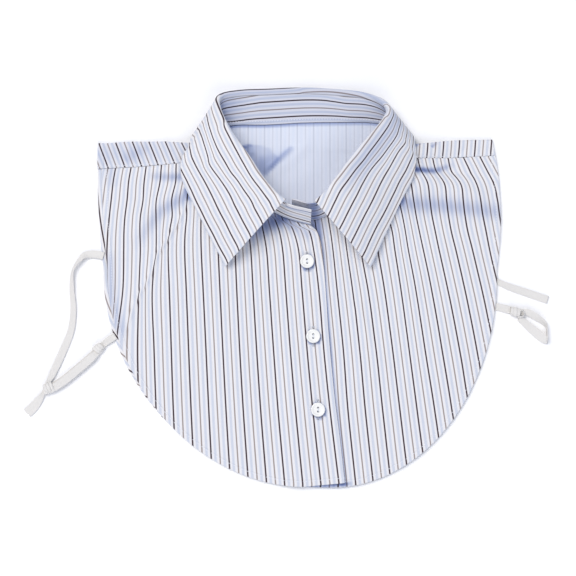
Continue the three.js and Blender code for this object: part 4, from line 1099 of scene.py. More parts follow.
def back_panel(name):
    """The back with its two flaps, as one wall."""
    ribs = back_ribs()
    neck, outer = np.array([rib[0] for rib in ribs]), np.array([rib[1] for rib in ribs])
    level, reach, push, depth = (np.array([rib[k] for rib in ribs]) for k in range(2, 6))
    near_fold = np.where(depth > 0, 1, 1 - smooth(SHOULDER_LINE - outer[:, 1], 0, FLAP_FADE))
    outer[:, 0] += FLAP_REACH * near_fold * (outer[:, 0] > 0)
    length = np.linalg.norm(outer - neck[:, :2], axis=1)
    inner = (np.linspace(0, 1, BACK_ROWS) ** BACK_CROWD)[:, None] * (1 - EDGE_STEPS[-1] / length)
    u = np.concatenate([inner, 1 - EDGE_STEPS[-2::-1, None] / length])
    plan = lerp(neck[None, :, :2], outer[None], u[..., None])
    plan[..., 1] += push - shoulder_sag(plan)
    held = np.array([loft(u[:, k] * length[k], reach[k]) for k in range(len(ribs))]).T
    x, y = plan[..., 0], plan[..., 1]
    hem = (1 - u) * length
    seam = np.minimum(np.linalg.norm(plan - plan[:, :1], axis=-1),
                      np.linalg.norm(plan - plan[:, -1:], axis=-1))
    wall, lift = hem_shape(plan, hem, 0 * hem + NO_FRONT_EDGE)
    on_flap = depth > 0
    creases = np.where(on_flap, 0, inside_creases(x, y))
    dip, pinched = seam_dip(seam, on_flap)
    z = lerp(level, neck[:, 2], held) + np.where(on_flap, lift, np.abs(lift) * BACK_LIFT)
    z = z + waves(x, y, *BACK_WAVES) * (1 - held) + creases + np.abs(waves(x, y, *FLAP_WAVES)) * on_flap - dip
    wall = wall * pinched
    way = np.where(push[:, None] > 0, (0.0, 1.0), np.gradient(outer, axis=0))
    outward = unit(way @ np.array([[0, -1], [1, 0]]))
    outward = outward * np.sign((outward * (outer - neck[:, :2])).sum(-1, keepdims=True))
    inset = ((outer - plan) * outward).sum(-1)
    lies_flat = (depth == 0) & (push == 0)
    turned = plan + 2 * inset[..., None] * outward * ((hem < HEM_WIDTH) & lies_flat)[..., None]
    along = y - 2 * np.minimum(y - SHOULDER_LINE, 0) * on_flap
    stripes = np.stack([back_count(turned[..., 0], depth), along / REPEAT], axis=-1)
    piece = cloth_wall(name, np.concatenate([plan, z[..., None]], -1), wall, stripes, SIDES, hem > HEM_WIDTH,
                       True, painted_shade_of("back", x, y))
    return piece, np.concatenate([plan, (z + wall / 2)[..., None]], -1)


CREASE_ENDS = (-0.2, 0.2, 0.8, 1.2)
CREASES = {
    # points along the crest, height, width
    "long": (((-31, 109), (-20, 117), (-7, 128)), 1.6, 1.5),
    "swell": (((-24, 108), (-10, 118), (4, 132)), 1.5, 6.0),
    "short": (((-52, 122), (-46, 123), (-40, 124)), 1.0, 1.2),
}


def inside_creases(x, y):
    """Short creases that show on the back panel through the neck."""
    total = np.zeros_like(x)
    for points, rise, width in CREASES.values():
        aside, share = beside_path(points, x, y)
        total += rise * bump(aside, width) * plateau(share, *CREASE_ENDS)
    return total


back_cloth, back_surface = back_panel("back_panel_cloth")

# %% [markdown]
# The stand is a strip round the neck and the leaf is sewn along its top. Both have two plies and an
# interlining, so they are stiffer and smoother than the bib and stand up by themselves. Their stripes
# run round the neck. The leaf's are counted outwards from the roll.

# %% Stand and leaf
RING_STEPS = 11                   # grid columns to a row of the collar's table
COLLAR_WALL = 0.85
TAB_EDGE = 3.4                    # the white fold along the top of the stand's ends, partly painted light
GROUND, TAN_PLACE = 0.12, 0.5     # places in the pattern that are white ground and tan stripe
STAND_STRIPES = (1, 2)
STAND_LEVELS = {
    # row: from the neck seam to the first two dark stripes of the stand
    -1.0: (4.5, 18.5), 1.0: (4.5, 18.5), 3.0: (4.0, 17.0), 8.0: (3.6, 15.6), 9.0: (3.4, 15.9),
    9.5: (4.6, 17.3), 10.0: (5.5, 18.8), 11.0: (5.6, 18.9), 11.5: (5.5, 18.5), 12.0: (5.1, 16.9),
    12.5: (4.1, 15.4), 13.5: (3.9, 15.6), 14.5: (3.8, 15.8), 20.0: (4.0, 17.0), 21.0: (4.5, 18.5),
    23.0: (4.5, 18.5),
}
LEAF_STRIPES = (0, 1, 2, 3, 4, 5)
LEAF_LEVELS = {
    # row: from the top of the roll to the dark stripes of the leaf
    1.0: (-1.0, 13.0, 27.0, 41.5, 56.8, 71.5), 1.15: (-2.6, 11.2, 24.8, 39.2, 54.2, 69.0),
    1.5: (-5.0, 8.5, 21.8, 36.0, 50.8, 65.8), 2.0: (-5.5, 7.8, 19.0, 32.8, 47.2, 62.2),
    2.5: (-5.0, 8.0, 19.0, 30.8, 45.5, 60.5), 3.0: (-5.0, 7.5, 20.2, 31.0, 44.0, 59.2),
    3.5: (-7.0, 6.0, 19.0, 31.2, 42.2, 56.5), 4.0: (-9.0, 4.5, 17.8, 27.8, 41.0, 54.5),
    4.5: (-10.0, 3.8, 16.5, 25.5, 40.2, 54.0), 5.0: (-12.5, 1.2, 15.5, 24.5, 38.8, 52.5),
    5.5: (-13.0, 1.2, 15.2, 25.5, 39.5, 53.5), 7.0: (-12.0, 2.0, 16.0, 30.0, 44.0, 58.0),
    # rows 8 to 11.1: the first dark stripe lies on the roll where the fold's shade falls, partly stripe and
    # partly painted shade
    8.0: (-12.3, -0.8, 16.0, 29.0, 42.0, 55.0), 9.0: (-12.2, -1.6, 16.0, 29.0, 42.0, 55.0),
    10.6: (-11.6, -1.5, 16.0, 29.0, 42.0, 55.0), 11.1: (-11.4, 1.2, 16.0, 29.0, 42.0, 55.0),
    12.0: (-11.8, 4.0, 16.0, 28.0, 40.0, 52.0), 12.7: (-13.0, 3.0, 16.0, 27.0, 38.0, 49.0),
    13.4: (-14.4, 2.2, 16.0, 26.0, 36.0, 47.0), 14.5: (-14.4, 2.6, 16.0, 25.5, 35.0, 45.0),
    15.0: (-9.5, 5.0, 16.0, 25.2, 34.2, 45.0), 15.5: (-4.0, 6.6, 16.0, 25.3, 34.4, 45.3),
    16.5: (-1.8, 6.8, 16.0, 25.5, 34.8, 46.0),
    17.0: (-5.0, 7.2, 17.2, 27.2, 38.5, 51.0), 17.5: (-5.5, 7.8, 18.2, 27.0, 40.5, 54.0),
    18.0: (-5.0, 8.5, 18.8, 28.2, 42.8, 56.5), 18.5: (-4.0, 9.2, 19.5, 30.5, 44.8, 58.5),
    19.0: (-3.5, 10.0, 19.5, 32.5, 47.8, 62.0), 19.5: (-4.5, 9.2, 20.5, 35.0, 50.2, 64.5),
    20.0: (-5.0, 9.2, 23.0, 37.5, 52.2, 67.0), 20.5: (-3.0, 11.2, 25.5, 40.2, 55.0, 70.0),
    20.85: (0.8, 14.5, 28.8, 43.5, 58.8, 73.5), 21.0: (2.8, 16.8, 31.0, 46.0, 61.0, 76.0),
}
ROLL_LINES = 15
ROLL_TOP = 2 + ROLL_LINES // 2    # the leaf's grid line on the top of the roll
END_STEPS = np.array([0.004, 0.012, 0.03, 0.06])
STAND_FOOT, STAND_HEAD = (0, 0.006, 0.02, 0.04), (0.975, 0.985, 0.994, 1)
STAND_MIDDLE, LEAF_FALL = (0.06, 0.96, 46), (0.03, 0.93, 34)
LEAF_EDGE = (0.95, 0.965, 0.978, 0.988, 0.994, 0.998, 1)
TAN_LINE = (0.9, 1.9)             # the tan line along the under end, from its top


def across_lengths(surface):
    steps = np.linalg.norm(np.diff(surface, axis=0), axis=-1)
    return np.concatenate([np.zeros((1, surface.shape[1])), np.cumsum(steps, axis=0)])


def along_lengths(surface):
    line = surface[surface.shape[0] // 2]
    steps = np.linalg.norm(np.diff(line, axis=0), axis=-1)
    return np.broadcast_to(np.concatenate([[0], np.cumsum(steps)]), surface.shape[:2])


def end_graded(first, last):
    """Columns from one row of the table to another, close together at both ends."""
    inside = np.linspace(first, last, int((last - first) * RING_STEPS) + 1)
    return np.concatenate([[first], first + END_STEPS, inside[1:-1], last - END_STEPS[::-1], [last]])


# painted shade on the collar: its depth, and where it lies in rows of the table or in millimetres
NAPE_SHADE, NAPE_ROWS = 0.10, (6.5, 7.5, 15, 16)
LEFT_CORNER_SHADE, LEFT_CORNER_ROWS = 0.20, (7.8, 9.6)
RIGHT_CORNER_SHADE, RIGHT_CORNER_ROWS = 0.10, (13, 15)
FOLD_SHADE, FOLD_BELOW, FOLD_WIDTH = 0.5, 0.3, 0.5
FOOT_SHADE, FOOT_WIDTH = 0.35, 1.2
BETWEEN_SHADE, BETWEEN_ROW, BETWEEN_WIDTH = 0.55, 21.1, 0.22
UNDER_END_SHADE, UNDER_END_ROWS = 0.04, (21.2, 21.4)
LEAF_SHADE, LEAF_SHADE_PLACE, LEAF_SHADE_WIDTH, LEAF_SHADE_ROWS = 0.13, 11, 8.0, (15.2, 16.2, 19.0, 20.4)
ROLL_SHADE, ROLL_SHADE_ROWS, ROLL_SHADE_END = 0.12, (7.0, 8.0, 15.0, 15.6), (0.5, 2.0)


def stand_painted_shade(rows, across, from_top):
    """Painted shade on the stand: in the nape's corners, under the tab's fold and between the two ends."""
    on_tab = rows < leaf_rows[0]
    left = LEFT_CORNER_SHADE * (1 - smooth(rows, *LEFT_CORNER_ROWS))
    right = RIGHT_CORNER_SHADE * smooth(rows, *RIGHT_CORNER_ROWS)
    nape = plateau(rows, *NAPE_ROWS) * (NAPE_SHADE + (left + right))
    under_fold = FOLD_SHADE * bump(from_top - TAB_EDGE - FOLD_BELOW, FOLD_WIDTH) * on_tab
    foot = FOOT_SHADE * bump(across, FOOT_WIDTH) * on_tab
    between = BETWEEN_SHADE * bump(rows - BETWEEN_ROW, BETWEEN_WIDTH)
    under_end = UNDER_END_SHADE * smooth(rows, *UNDER_END_ROWS)
    return np.clip(nape + under_fold + foot + (between + under_end), 0, 1)


def leaf_painted_shade(rows, from_roll):
    """A soft painted shade beside the fold of the right leaf, and on the roll over the nape."""
    beside = bump(from_roll - LEAF_SHADE_PLACE, LEAF_SHADE_WIDTH) * plateau(rows, *LEAF_SHADE_ROWS)
    nape = plateau(rows, *ROLL_SHADE_ROWS) * (1 - smooth(from_roll, *ROLL_SHADE_END))
    return LEAF_SHADE * beside + ROLL_SHADE * nape


def collar_stand(name):
    """The band round the neck, with the white fold along the top of its two ends, partly painted light."""
    rows = end_graded(0.0, float(LAST))
    shares = np.concatenate([STAND_FOOT, np.linspace(*STAND_MIDDLE), STAND_HEAD])
    surface = stand_surface(rows, shares)
    across, along = across_lengths(surface), along_lengths(surface)
    edge = np.minimum(np.minimum(along, along[0, -1] - along), across)
    wall = COLLAR_WALL * round_off(edge, COLLAR_WALL)
    count = stripe_counter(STAND_STRIPES, STAND_LEVELS)(across, np.broadcast_to(rows, across.shape))
    from_top = across[-1] - across
    on_tab = (rows < leaf_rows[0]) | (rows > leaf_rows[-1])
    # white ground along the top of both ends: partly their fold, partly painted light that lightens the tabs
    count = np.where(on_tab & (from_top < TAB_EDGE), GROUND, count)
    on_line = (rows > leaf_rows[-1]) & (from_top > TAN_LINE[0]) & (from_top < TAN_LINE[1])
    count = np.where(on_line, TAN_PLACE, count)
    piece = cloth_wall(name, surface, wall, np.stack([count, along / REPEAT], axis=-1), SIDES[:1],
                       painted_shade=stand_painted_shade(np.broadcast_to(rows, across.shape), across, from_top))
    return piece, surface


def collar_leaf(name):
    """The turned-down collar from its seam over the roll to its edge."""
    rows = end_graded(float(leaf_rows[0]), float(leaf_rows[-1]))
    fall = np.concatenate([np.linspace(*LEAF_FALL), LEAF_EDGE])
    surface = leaf_surface(rows, np.linspace(1, -1, ROLL_LINES), fall)
    across, along = across_lengths(surface), along_lengths(surface)
    edge = np.minimum(np.minimum(along, along[0, -1] - along), across[-1] - across)
    wall = COLLAR_WALL * round_off(edge, COLLAR_WALL)
    from_roll = across - across[ROLL_TOP]
    count = stripe_counter(LEAF_STRIPES, LEAF_LEVELS)(from_roll, np.broadcast_to(rows, across.shape))
    return cloth_wall(name, surface, wall, np.stack([count, along / REPEAT], axis=-1), SIDES[:1],
                      painted_shade=leaf_painted_shade(np.broadcast_to(rows, across.shape), from_roll))


stand_cloth, stand_grid = collar_stand("collar_stand_cloth")
leaf_cloth = collar_leaf("collar_leaf_cloth")

# %% [markdown]
# Stitches and threads are too small and too many to place by hand, so two node trees lay them. One drops
# a short padded stitch at every step of a path and turns it along the path. The other gives a drawn path
# the roundness of thread. Their sizes are inputs, so hems, seams and buttonholes share the same trees.

# %% Trees for stitches and laid threads
STITCH_PITCH, STITCH_LENGTH, STITCH_WIDE = 2.3, 1.7, 0.42
THREAD_WIDE = 0.3
PAD_SEGMENTS, PAD_RINGS, THREAD_SIDES = 8, 5, 6


def geometry_group(name, inputs):
    """An empty node group that takes and gives geometry."""
    tree = bpy.data.node_groups.new(name, "GeometryNodeTree")
    for label, kind in [("Geometry", "NodeSocketGeometry"), *inputs]:
        tree.interface.new_socket(label, in_out="INPUT", socket_type=kind)
    tree.interface.new_socket("Geometry", in_out="OUTPUT", socket_type="NodeSocketGeometry")
    return tree, tree.nodes.new("NodeGroupInput").outputs, tree.nodes.new("NodeGroupOutput").inputs


def finish_tree(tree, shape, thread, made):
    """Real geometry with smooth shading and the thread's material."""
    real = add_node(tree, "GeometryNodeRealizeInstances", Geometry=shape)
    soft = add_node(tree, "GeometryNodeSetShadeSmooth", Geometry=real.outputs[0])
    dyed = add_node(tree, "GeometryNodeSetMaterial", Geometry=soft.outputs[0], Material=thread)
    tree.links.new(dyed.outputs[0], made["Geometry"])


stitch_tree, given, made = geometry_group("run_of_stitches", [
    ("Pitch", "NodeSocketFloat"), ("Length", "NodeSocketFloat"), ("Width", "NodeSocketFloat"),
    ("Thread", "NodeSocketMaterial")])
path = add_node(stitch_tree, "GeometryNodeMeshToCurve", Mesh=given["Geometry"])
steps = add_node(stitch_tree, "GeometryNodeResampleCurve", {"mode": "LENGTH"}, Curve=path.outputs[0],
                 Length=given["Pitch"])
ahead = add_node(stitch_tree, "GeometryNodeInputTangent")
turned = add_node(stitch_tree, "FunctionNodeAlignRotationToVector", {"axis": "X"}, Vector=ahead.outputs[0])
pad = add_node(stitch_tree, "GeometryNodeMeshUVSphere", Segments=PAD_SEGMENTS, Rings=PAD_RINGS,
               Radius=0.5)
size = add_node(stitch_tree, "ShaderNodeCombineXYZ", X=given["Length"], Y=given["Width"], Z=given["Width"])
sewn = add_node(stitch_tree, "GeometryNodeInstanceOnPoints", Points=steps.outputs[0], Instance=pad.outputs[0],
                Rotation=turned.outputs[0], Scale=size.outputs[0])
finish_tree(stitch_tree, sewn.outputs[0], given["Thread"], made)

thread_tree, given, made = geometry_group("laid_thread", [
    ("Width", "NodeSocketFloat"), ("Thread", "NodeSocketMaterial")])
path = add_node(thread_tree, "GeometryNodeMeshToCurve", Mesh=given["Geometry"])
half = add_node(thread_tree, "ShaderNodeMath", {"operation": "MULTIPLY"}, n0=given["Width"], n1=0.5)
round_thread = add_node(thread_tree, "GeometryNodeCurvePrimitiveCircle", Resolution=THREAD_SIDES,
                        Radius=half.outputs[0])
drawn = add_node(thread_tree, "GeometryNodeCurveToMesh", Curve=path.outputs[0],
                 Profile_Curve=round_thread.outputs[0], Fill_Caps=True)
finish_tree(thread_tree, drawn.outputs[0], given["Thread"], made)


def laid(name, tree, paths, **inputs):
    """A piece that a tree makes along paths of points in millimetres."""
    mesh = bpy.data.meshes.new(name + "_path")
    edges = []
    start = 0
    for path in paths:
        edges += [(start + k, start + k + 1) for k in range(len(path) - 1)]
        start += len(path)
    mesh.from_pydata((np.concatenate(paths) * MM).tolist(), edges, [])
    piece = bpy.data.objects.new(name, mesh)
    bpy.context.collection.objects.link(piece)
    modifier = piece.modifiers.new("lay", "NODES")
    modifier.node_group = tree
    sockets = {item.name: item.identifier for item in tree.interface.items_tree if item.in_out == "INPUT"}
    for label, value in inputs.items():
        modifier[sockets[label]] = value
    bpy.context.view_layer.update()
    shape = bpy.data.meshes.new_from_object(piece.evaluated_get(bpy.context.evaluated_depsgraph_get()))
    piece.modifiers.remove(modifier)
    piece.data = shape
    shape.name = name
    bpy.data.meshes.remove(mesh)
    print(name, len(paths), "paths,", len(shape.polygons), "faces")
    return piece


def stitches(name, paths):
    return laid(name, stitch_tree, paths, Pitch=STITCH_PITCH * MM, Length=STITCH_LENGTH * MM,
                Width=STITCH_WIDE * MM, Thread=THREAD)


def threads_along(name, paths, width=THREAD_WIDE):
    return laid(name, thread_tree, paths, Width=width * MM, Thread=THREAD)


# %% [markdown]
# Hems are sewn near their edges, the shoulder flaps close to their seam, and the stand along the neck.
# A stitch lies half sunk in the cloth, so each path runs along the surface itself.

# %% Hem, shoulder and stand stitches
STAND_STITCH = 3.0                # from the neck seam to the stitches on the stand's inside
STAND_MARGIN = 4                  # grid columns without a stitch at each end of the stand
FLAP_LINE = 3                     # the rib of the back panel that the shoulder stitches follow
FLAP_START = 2                    # the row of that rib where they start


def stand_stitches():
    """The line of stitches along the stand's inside."""
    across = across_lengths(stand_grid)
    line = int(np.argmin(np.abs(across[:, across.shape[1] // 2] - STAND_STITCH)))
    inside = normals_of(stand_grid)[line]
    if inside[len(inside) // 2, 2] < 0:
        inside = -inside
    return (stand_grid[line] + inside * COLLAR_WALL / 2)[STAND_MARGIN:-STAND_MARGIN]


hem_stitches = stitches("hem_stitches", [over_stitches, under_stitches])
flap_lines = [back_surface[FLAP_START:, FLAP_LINE], back_surface[FLAP_START:, -1 - FLAP_LINE]]
shoulder_stitches = stitches("shoulder_stitches", flap_lines)
neck_stitches = stitches("stand_stitches", [stand_stitches()])

# %% [markdown]
# A button is a turned disc with a raised rim and a dished face. Two holes, one above the other, are cut
# through it exactly, and a few strands of thread cross from one to the other. The buttonhole under it is
# two rows of zigzag stitches with a bar at each end, and shows above and below the button.

# %% Buttons and buttonholes
BUTTON_SIDES, HOLE_SIDES = 56, 20
HOLE_RADIUS, HOLE_APART = 0.85, 2.9
RIM = ((-1.1, 0), (-0.45, 0.1), (-0.1, 0.35), (0, 0.5), (-0.1, 0.75), (-0.4, 0.95), (-0.85, 1), (-1.25, 0.97),
       (-1.6, 0.86), (-2.0, 0.76), (-2.6, 0.73))
FACE = 0.73                       # height of the dished face as a share of the button
DRILL_PAST = 1                    # how far the drill reaches past the button on both sides
SHARP = math.radians(40)          # edges with a greater bend than this stay sharp
STRANDS, STRAND_WIDE = (-0.2, 0.05, 0.28), 0.26
# a strand's way from hole to hole: shares of half their distance and of the button's height
STRAND_ARCH = ((-1.1, 0.25), (-0.95, 0.70), (-0.6, 0.92), (0, 0.97), (0.6, 0.92), (0.95, 0.70), (1.1, 0.25))
BUTTONHOLE_LENGTH, BUTTONHOLE_ROW, ZIGZAG = 16.5, 0.95, 0.3
ZIGZAG_INNER = 0.2                # where the zigzag turns beside the slit, as a share of its outer turn
BAR_START, BAR_END, BAR_POINTS = 0.8, 0.2, 8  # of an end bar, before and past the buttonhole's end
THREAD_PROUD = 0.2                # how far the thread's middle lies above the cloth, in its widths


def lathe(name, profile, sides):
    """A closed round solid from its outline, which starts and ends on the axis."""
    angles = np.arange(sides) * 2 * math.pi / sides
    rings = [(0, 0, profile[0][1])]
    for radius, height in profile[1:-1]:
        rings += [(radius * math.cos(turn), radius * math.sin(turn), height) for turn in angles]
    rings.append((0, 0, profile[-1][1]))
    faces = []
    for ring in range(len(profile) - 3):
        for k in range(sides):
            a, b = 1 + ring * sides + k, 1 + ring * sides + (k + 1) % sides
            faces.append((a, b, b + sides, a + sides))
    last = len(rings) - 1
    top = last - sides
    for k in range(sides):
        faces.append((0, 1 + (k + 1) % sides, 1 + k))
        faces.append((last, top + k, top + (k + 1) % sides))
    mesh = bpy.data.meshes.new(name)
    mesh.from_pydata(rings, [], faces)
    shape = bpy.data.objects.new(name, mesh)
    bpy.context.collection.objects.link(shape)
    return shape


def button(name, node):
    """A detailed button in the place of the frame's plain one, and the thread that holds it."""
    low, high = (np.array(corner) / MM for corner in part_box(node))
    middle, (wide, _, thick) = (low + high) / 2, high - low
    outline = [(0, 0)] + [(wide / 2 + inset, share * thick) for inset, share in RIM] + [(0, FACE * thick)]
    disc = lathe(name, outline, BUTTON_SIDES)
    for side in (-1, 1):
        foot, head = -DRILL_PAST, thick + DRILL_PAST
        drill = lathe("drill", [(0, foot), (HOLE_RADIUS, foot), (HOLE_RADIUS, head), (0, head)], HOLE_SIDES)
        drill.data.transform(Matrix.Translation((0, side * HOLE_APART / 2, 0)))
        cut = disc.modifiers.new("hole", "BOOLEAN")
        cut.operation = "DIFFERENCE"
        cut.solver = "EXACT"
        cut.object = drill
        bpy.context.view_layer.update()
        drilled = bpy.data.meshes.new_from_object(disc.evaluated_get(bpy.context.evaluated_depsgraph_get()))
        disc.modifiers.remove(cut)
        disc.data = drilled
        bpy.data.objects.remove(drill)
    drilled.name = name
    drilled.transform(Matrix.Scale(MM, 4) @ Matrix.Translation((middle[0], middle[1], low[2])))
    drilled.materials.clear()
    drilled.materials.append(RESIN)
    drilled.shade_smooth()
    drilled.set_sharp_from_angle(angle=SHARP)
    strands = []
    for aside in STRANDS:
        strands.append(np.array([(middle[0] + aside, middle[1] + across * HOLE_APART / 2,
                                  low[2] + thick * share) for across, share in STRAND_ARCH]))
    print(name, len(drilled.polygons), "faces")
    return disc, strands


def buttonhole(node):
    """Zigzag rows and end bars on the upper front panel, under a button."""
    low, high = (np.array(corner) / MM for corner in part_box(node))
    centre = ((low + high) / 2)[:2]
    near = over_surface.reshape(-1, 3)
    paths = []
    reach = BUTTONHOLE_LENGTH / 2
    run = np.arange(-reach, reach, ZIGZAG / 2)
    swing = np.where(np.arange(len(run)) % 2, ZIGZAG_INNER, 1.0)
    for side in (-1, 1):
        paths.append(np.stack([side * BUTTONHOLE_ROW * swing, run], axis=-1))
    run = np.linspace(reach - BAR_START, reach + BAR_END, BAR_POINTS)
    swing = np.where(np.arange(len(run)) % 2, -1.0, 1.0)
    for side in (-1, 1):
        paths.append(np.stack([BUTTONHOLE_ROW * swing, side * run], axis=-1))
    placed = []
    for path in paths:
        plan = path + centre
        height = near[np.argmin(((near[None, :, :2] - plan[:, None]) ** 2).sum(-1), axis=1), 2]
        placed.append(np.concatenate([plan, height[:, None] + THREAD_WIDE * THREAD_PROUD], axis=-1))
    return placed


buttons, button_strands, buttonholes = {}, [], []
for node in BUTTONS:
    buttons[node], strands = button(node + "_resin", node)
    button_strands += strands
    buttonholes += buttonhole(node)
button_threads = threads_along("button_threads", button_strands, STRAND_WIDE)
buttonhole_threads = threads_along("buttonhole_threads", buttonholes)

# %% [markdown]
# The side tapes are knitted elastic: flat, ribbed along their length, and able to twist and stand on
# edge. A route gives the plan of a tape, and at each row how high it lies, how far it has turned about
# its own length and how wide it is drawn. The loops are gathered by a few turns of the same elastic.

# %% Elastic straps and loops
TAPE_WIDTH, TAPE_WALL = 6.2, 1.0
PLY_GAP = 1.3                     # from one ply of the left loop to the strap between the plies
PLY_ASIDE = 1.4                   # how far the upper ply lies beside the lower one
PLY_END = 54                      # the station where the plies join, inside the wrapped end
RIB = 1.05                        # millimetres from one rib of the elastic to the next
TAPE_STEPS, TAPE_COLUMNS = 12, 37
RING_CREASE = 198.3               # the x of the crease at the far end of the right loop
CREASE_PRESS = 0.9                # how much of the tape past the crease is pressed back
GATHER_PITCH, GATHER_DRIFT = 2.3, 1.3
RIB_RELIEF, TAPE_FULL, EDGE_ROUND = 0.16, 0.82, 0.8  # shares of the tape's wall
WOUND_STEPS, WOUND_COLUMNS, WOUND_WALL = 28, 9, 0.62
WOUND_START = 0.25 * math.pi      # from level down to where the first turn starts
WOUND_TAPER, WOUND_BULGE = 0.18, 0.35
KNOT_HEIGHT, END_HEIGHT = 2.35, 2.4
WRAPPED = -5                      # the station in the middle of the left loop's wrapped end
BEND_POINTS = 11

ROUTES = {
    # x and y as shares of the side and the hem depth, lift in walls, tilt in degrees, width share
    "strap_left": (
        (-1.000, 0.240, 1.3, 0, 1.00), (-1.030, 0.248, 0.8, 0, 1.00), (-1.075, 0.250, 0.1, 10, 1.00),
        (-1.118, 0.222, 0.0, 45, 0.90), (-1.150, 0.165, 0.0, 60, 0.78), (-1.155, 0.054, 0.0, 25, 0.74),
        (-1.146, -0.056, 0.0, 12, 0.80), (-1.155, -0.164, 0.0, 5, 0.90), (-1.190, -0.272, 0.2, 0, 1.00),
        (-1.237, -0.391, 0.9, 0, 0.90), (-1.262, -0.450, 1.3, 0, 0.60), (-1.284, -0.505, 1.3, 0, 0.55),
        (-1.310, -0.548, 0.3, 0, 1.10), (-1.335, -0.582, 0.0, 0, 1.30), (-1.362, -0.611, 0.0, 0, 1.30),
    ),
    "strap_right": (
        (0.990, 0.108, 0.0, 0, 0.78), (1.020, 0.092, 0.0, 0, 0.78), (1.067, 0.070, 0.0, 0, 0.92),
        (1.143, 0.043, 0.0, 0, 1.00), (1.200, 0.022, 0.0, 0, 1.00), (1.260, 0.000, 0.0, 0, 1.00),
    ),
    "left_stem": (
        (-0.932, -0.197, 1.5, 0, 0.90), (-0.960, -0.216, 1.4, 0, 0.90), (-0.995, -0.245, 1.2, 0, 0.80),
        (-1.018, -0.267, 1.4, 0, 0.70),
    ),
    "left_ply": (
        (-1.010, -0.260, 1.6, 0, 0.70), (-1.056, -0.311, 0.3, 0, 1.00), (-1.129, -0.381, 0.0, 0, 1.05),
        (-1.200, -0.443, 0.0, 0, 1.05), (-1.255, -0.476, 0.0, 0, 1.00), (-1.302, -0.487, 0.0, 0, 0.95),
    ),
    "right_stem": (
        (0.978, -0.033, 0.0, 0, 0.95), (1.000, -0.038, 0.0, 0, 0.95), (1.045, -0.050, 0.3, 0, 1.00),
        (1.090, -0.066, 1.0, 0, 0.80),
    ),
    "right_ring": (
        (1.118, -0.068, 1.6, 0, 0.75), (1.155, -0.070, 0.8, 20, 0.90), (1.197, -0.096, 0.1, 35, 0.95),
        (1.236, -0.128, 0.0, 60, 0.90), (1.262, -0.172, 0.0, 85, 0.80), (1.263, -0.218, 0.0, 110, 0.95),
        (1.232, -0.214, 0.0, 150, 1.15), (1.180, -0.166, 0.2, 170, 1.10), (1.112, -0.100, 1.0, 180, 0.80),
    ),
}


def stations_of(route, side):
    """Places, turns, half widths and headings along a route."""
    rows = np.array(ROUTES[route]) * (side, HEM_DEPTH, 1, 1, 1)
    at = np.linspace(0, len(rows) - 1, (len(rows) - 1) * TAPE_STEPS + 1)
    run = smooth_curve(rows)(at)
    turn = np.radians(run[:, 3])
    half = TAPE_WIDTH * run[:, 4] / 2
    rest = np.abs(np.sin(turn)) * half + np.abs(np.cos(turn)) * TAPE_WALL / 2
    place = np.stack([run[:, 0], run[:, 1], rest + np.maximum(0, run[:, 2]) * TAPE_WALL], axis=-1)
    return place, turn, half, unit(np.gradient(place[:, :2], axis=0))


def tape(name, place, turn, half, ahead, gathers=0.0, crease=None):
    """A ribbed tape, with its ribs along and small gathers across. It is pressed flat past a crease."""
    level = np.stack([-ahead[:, 1], ahead[:, 0], 0 * turn], axis=-1)
    upright = np.stack([0 * turn, 0 * turn, 1 + 0 * turn], axis=-1)
    across = level * np.cos(turn)[:, None] + upright * np.sin(turn)[:, None]
    face = np.cross(np.concatenate([ahead, 0 * turn[:, None]], axis=-1), across)
    off = np.linspace(-1, 1, TAPE_COLUMNS)
    along = np.concatenate([[0], np.cumsum(np.linalg.norm(np.diff(place, axis=0), axis=1))])
    phase = 2 * math.pi * along / GATHER_PITCH + GATHER_DRIFT * np.sin(along)
    wave = np.asarray(gathers)[..., None] * np.sin(phase)[:, None]
    middle = (place[:, None] + across[:, None] * (half[:, None, None] * off[:, None])
              + face[:, None] * wave[..., None])
    if crease is not None:
        middle[..., 0] -= CREASE_PRESS * np.maximum(0, middle[..., 0] - crease)
    ribs = 1 + RIB_RELIEF * np.cos(2 * math.pi * off * TAPE_WIDTH / 2 / RIB)
    edge = (1 - np.abs(off)) * TAPE_WIDTH / 2
    wall = TAPE_WALL * TAPE_FULL * ribs * round_off(edge, TAPE_WALL * EDGE_ROUND)
    grid = np.stack(np.broadcast_arrays(off * TAPE_WIDTH / 2 / RIB, along[:, None] / RIB), axis=-1)
    return cloth_wall(name, middle, wall[None, :], grid, (ELASTIC,))


def wound(name, centre, heading, turns, pitch, wide, high, strip):
    """Turns of elastic wound round a tape, as a strip that climbs along it."""
    count = int(turns * WOUND_STEPS) + 1
    angle = np.linspace(-WOUND_START, 2 * math.pi * turns - WOUND_START, count)
    heading = unit(np.array([*heading, 0.0]))
    side = np.array([-heading[1], heading[0], 0.0])
    climb = (angle / (2 * math.pi) - turns / 2) * pitch
    off = np.linspace(-0.5, 0.5, WOUND_COLUMNS) * strip
    swell = 1 - WOUND_TAPER * (climb / (turns * pitch / 2)) ** 2
    bulge = WOUND_BULGE * np.cos(math.pi * off / strip)
    ring_side = (wide + bulge[None, :]) * (np.cos(angle) * swell)[:, None]
    ring_up = (high + bulge[None, :]) * (np.sin(angle) * swell)[:, None]
    middle = (np.asarray(centre) + heading * (climb[:, None] + off)[..., None] + side * ring_side[..., None]
              + np.array([0, 0, 1.0]) * ring_up[..., None])
    grid = np.stack(np.broadcast_arrays(off[None, :] / RIB, angle[:, None] * wide / RIB), axis=-1)
    return cloth_wall(name, middle, WOUND_WALL, grid, (ELASTIC,))


def near_ends(count, first, last):
    """Gathers that are strongest at the ends of a tape."""
    share = np.linspace(0, 1, count)
    return first * (1 - smooth(share, 0, 0.5)) + last * smooth(share, 0.5, 1)


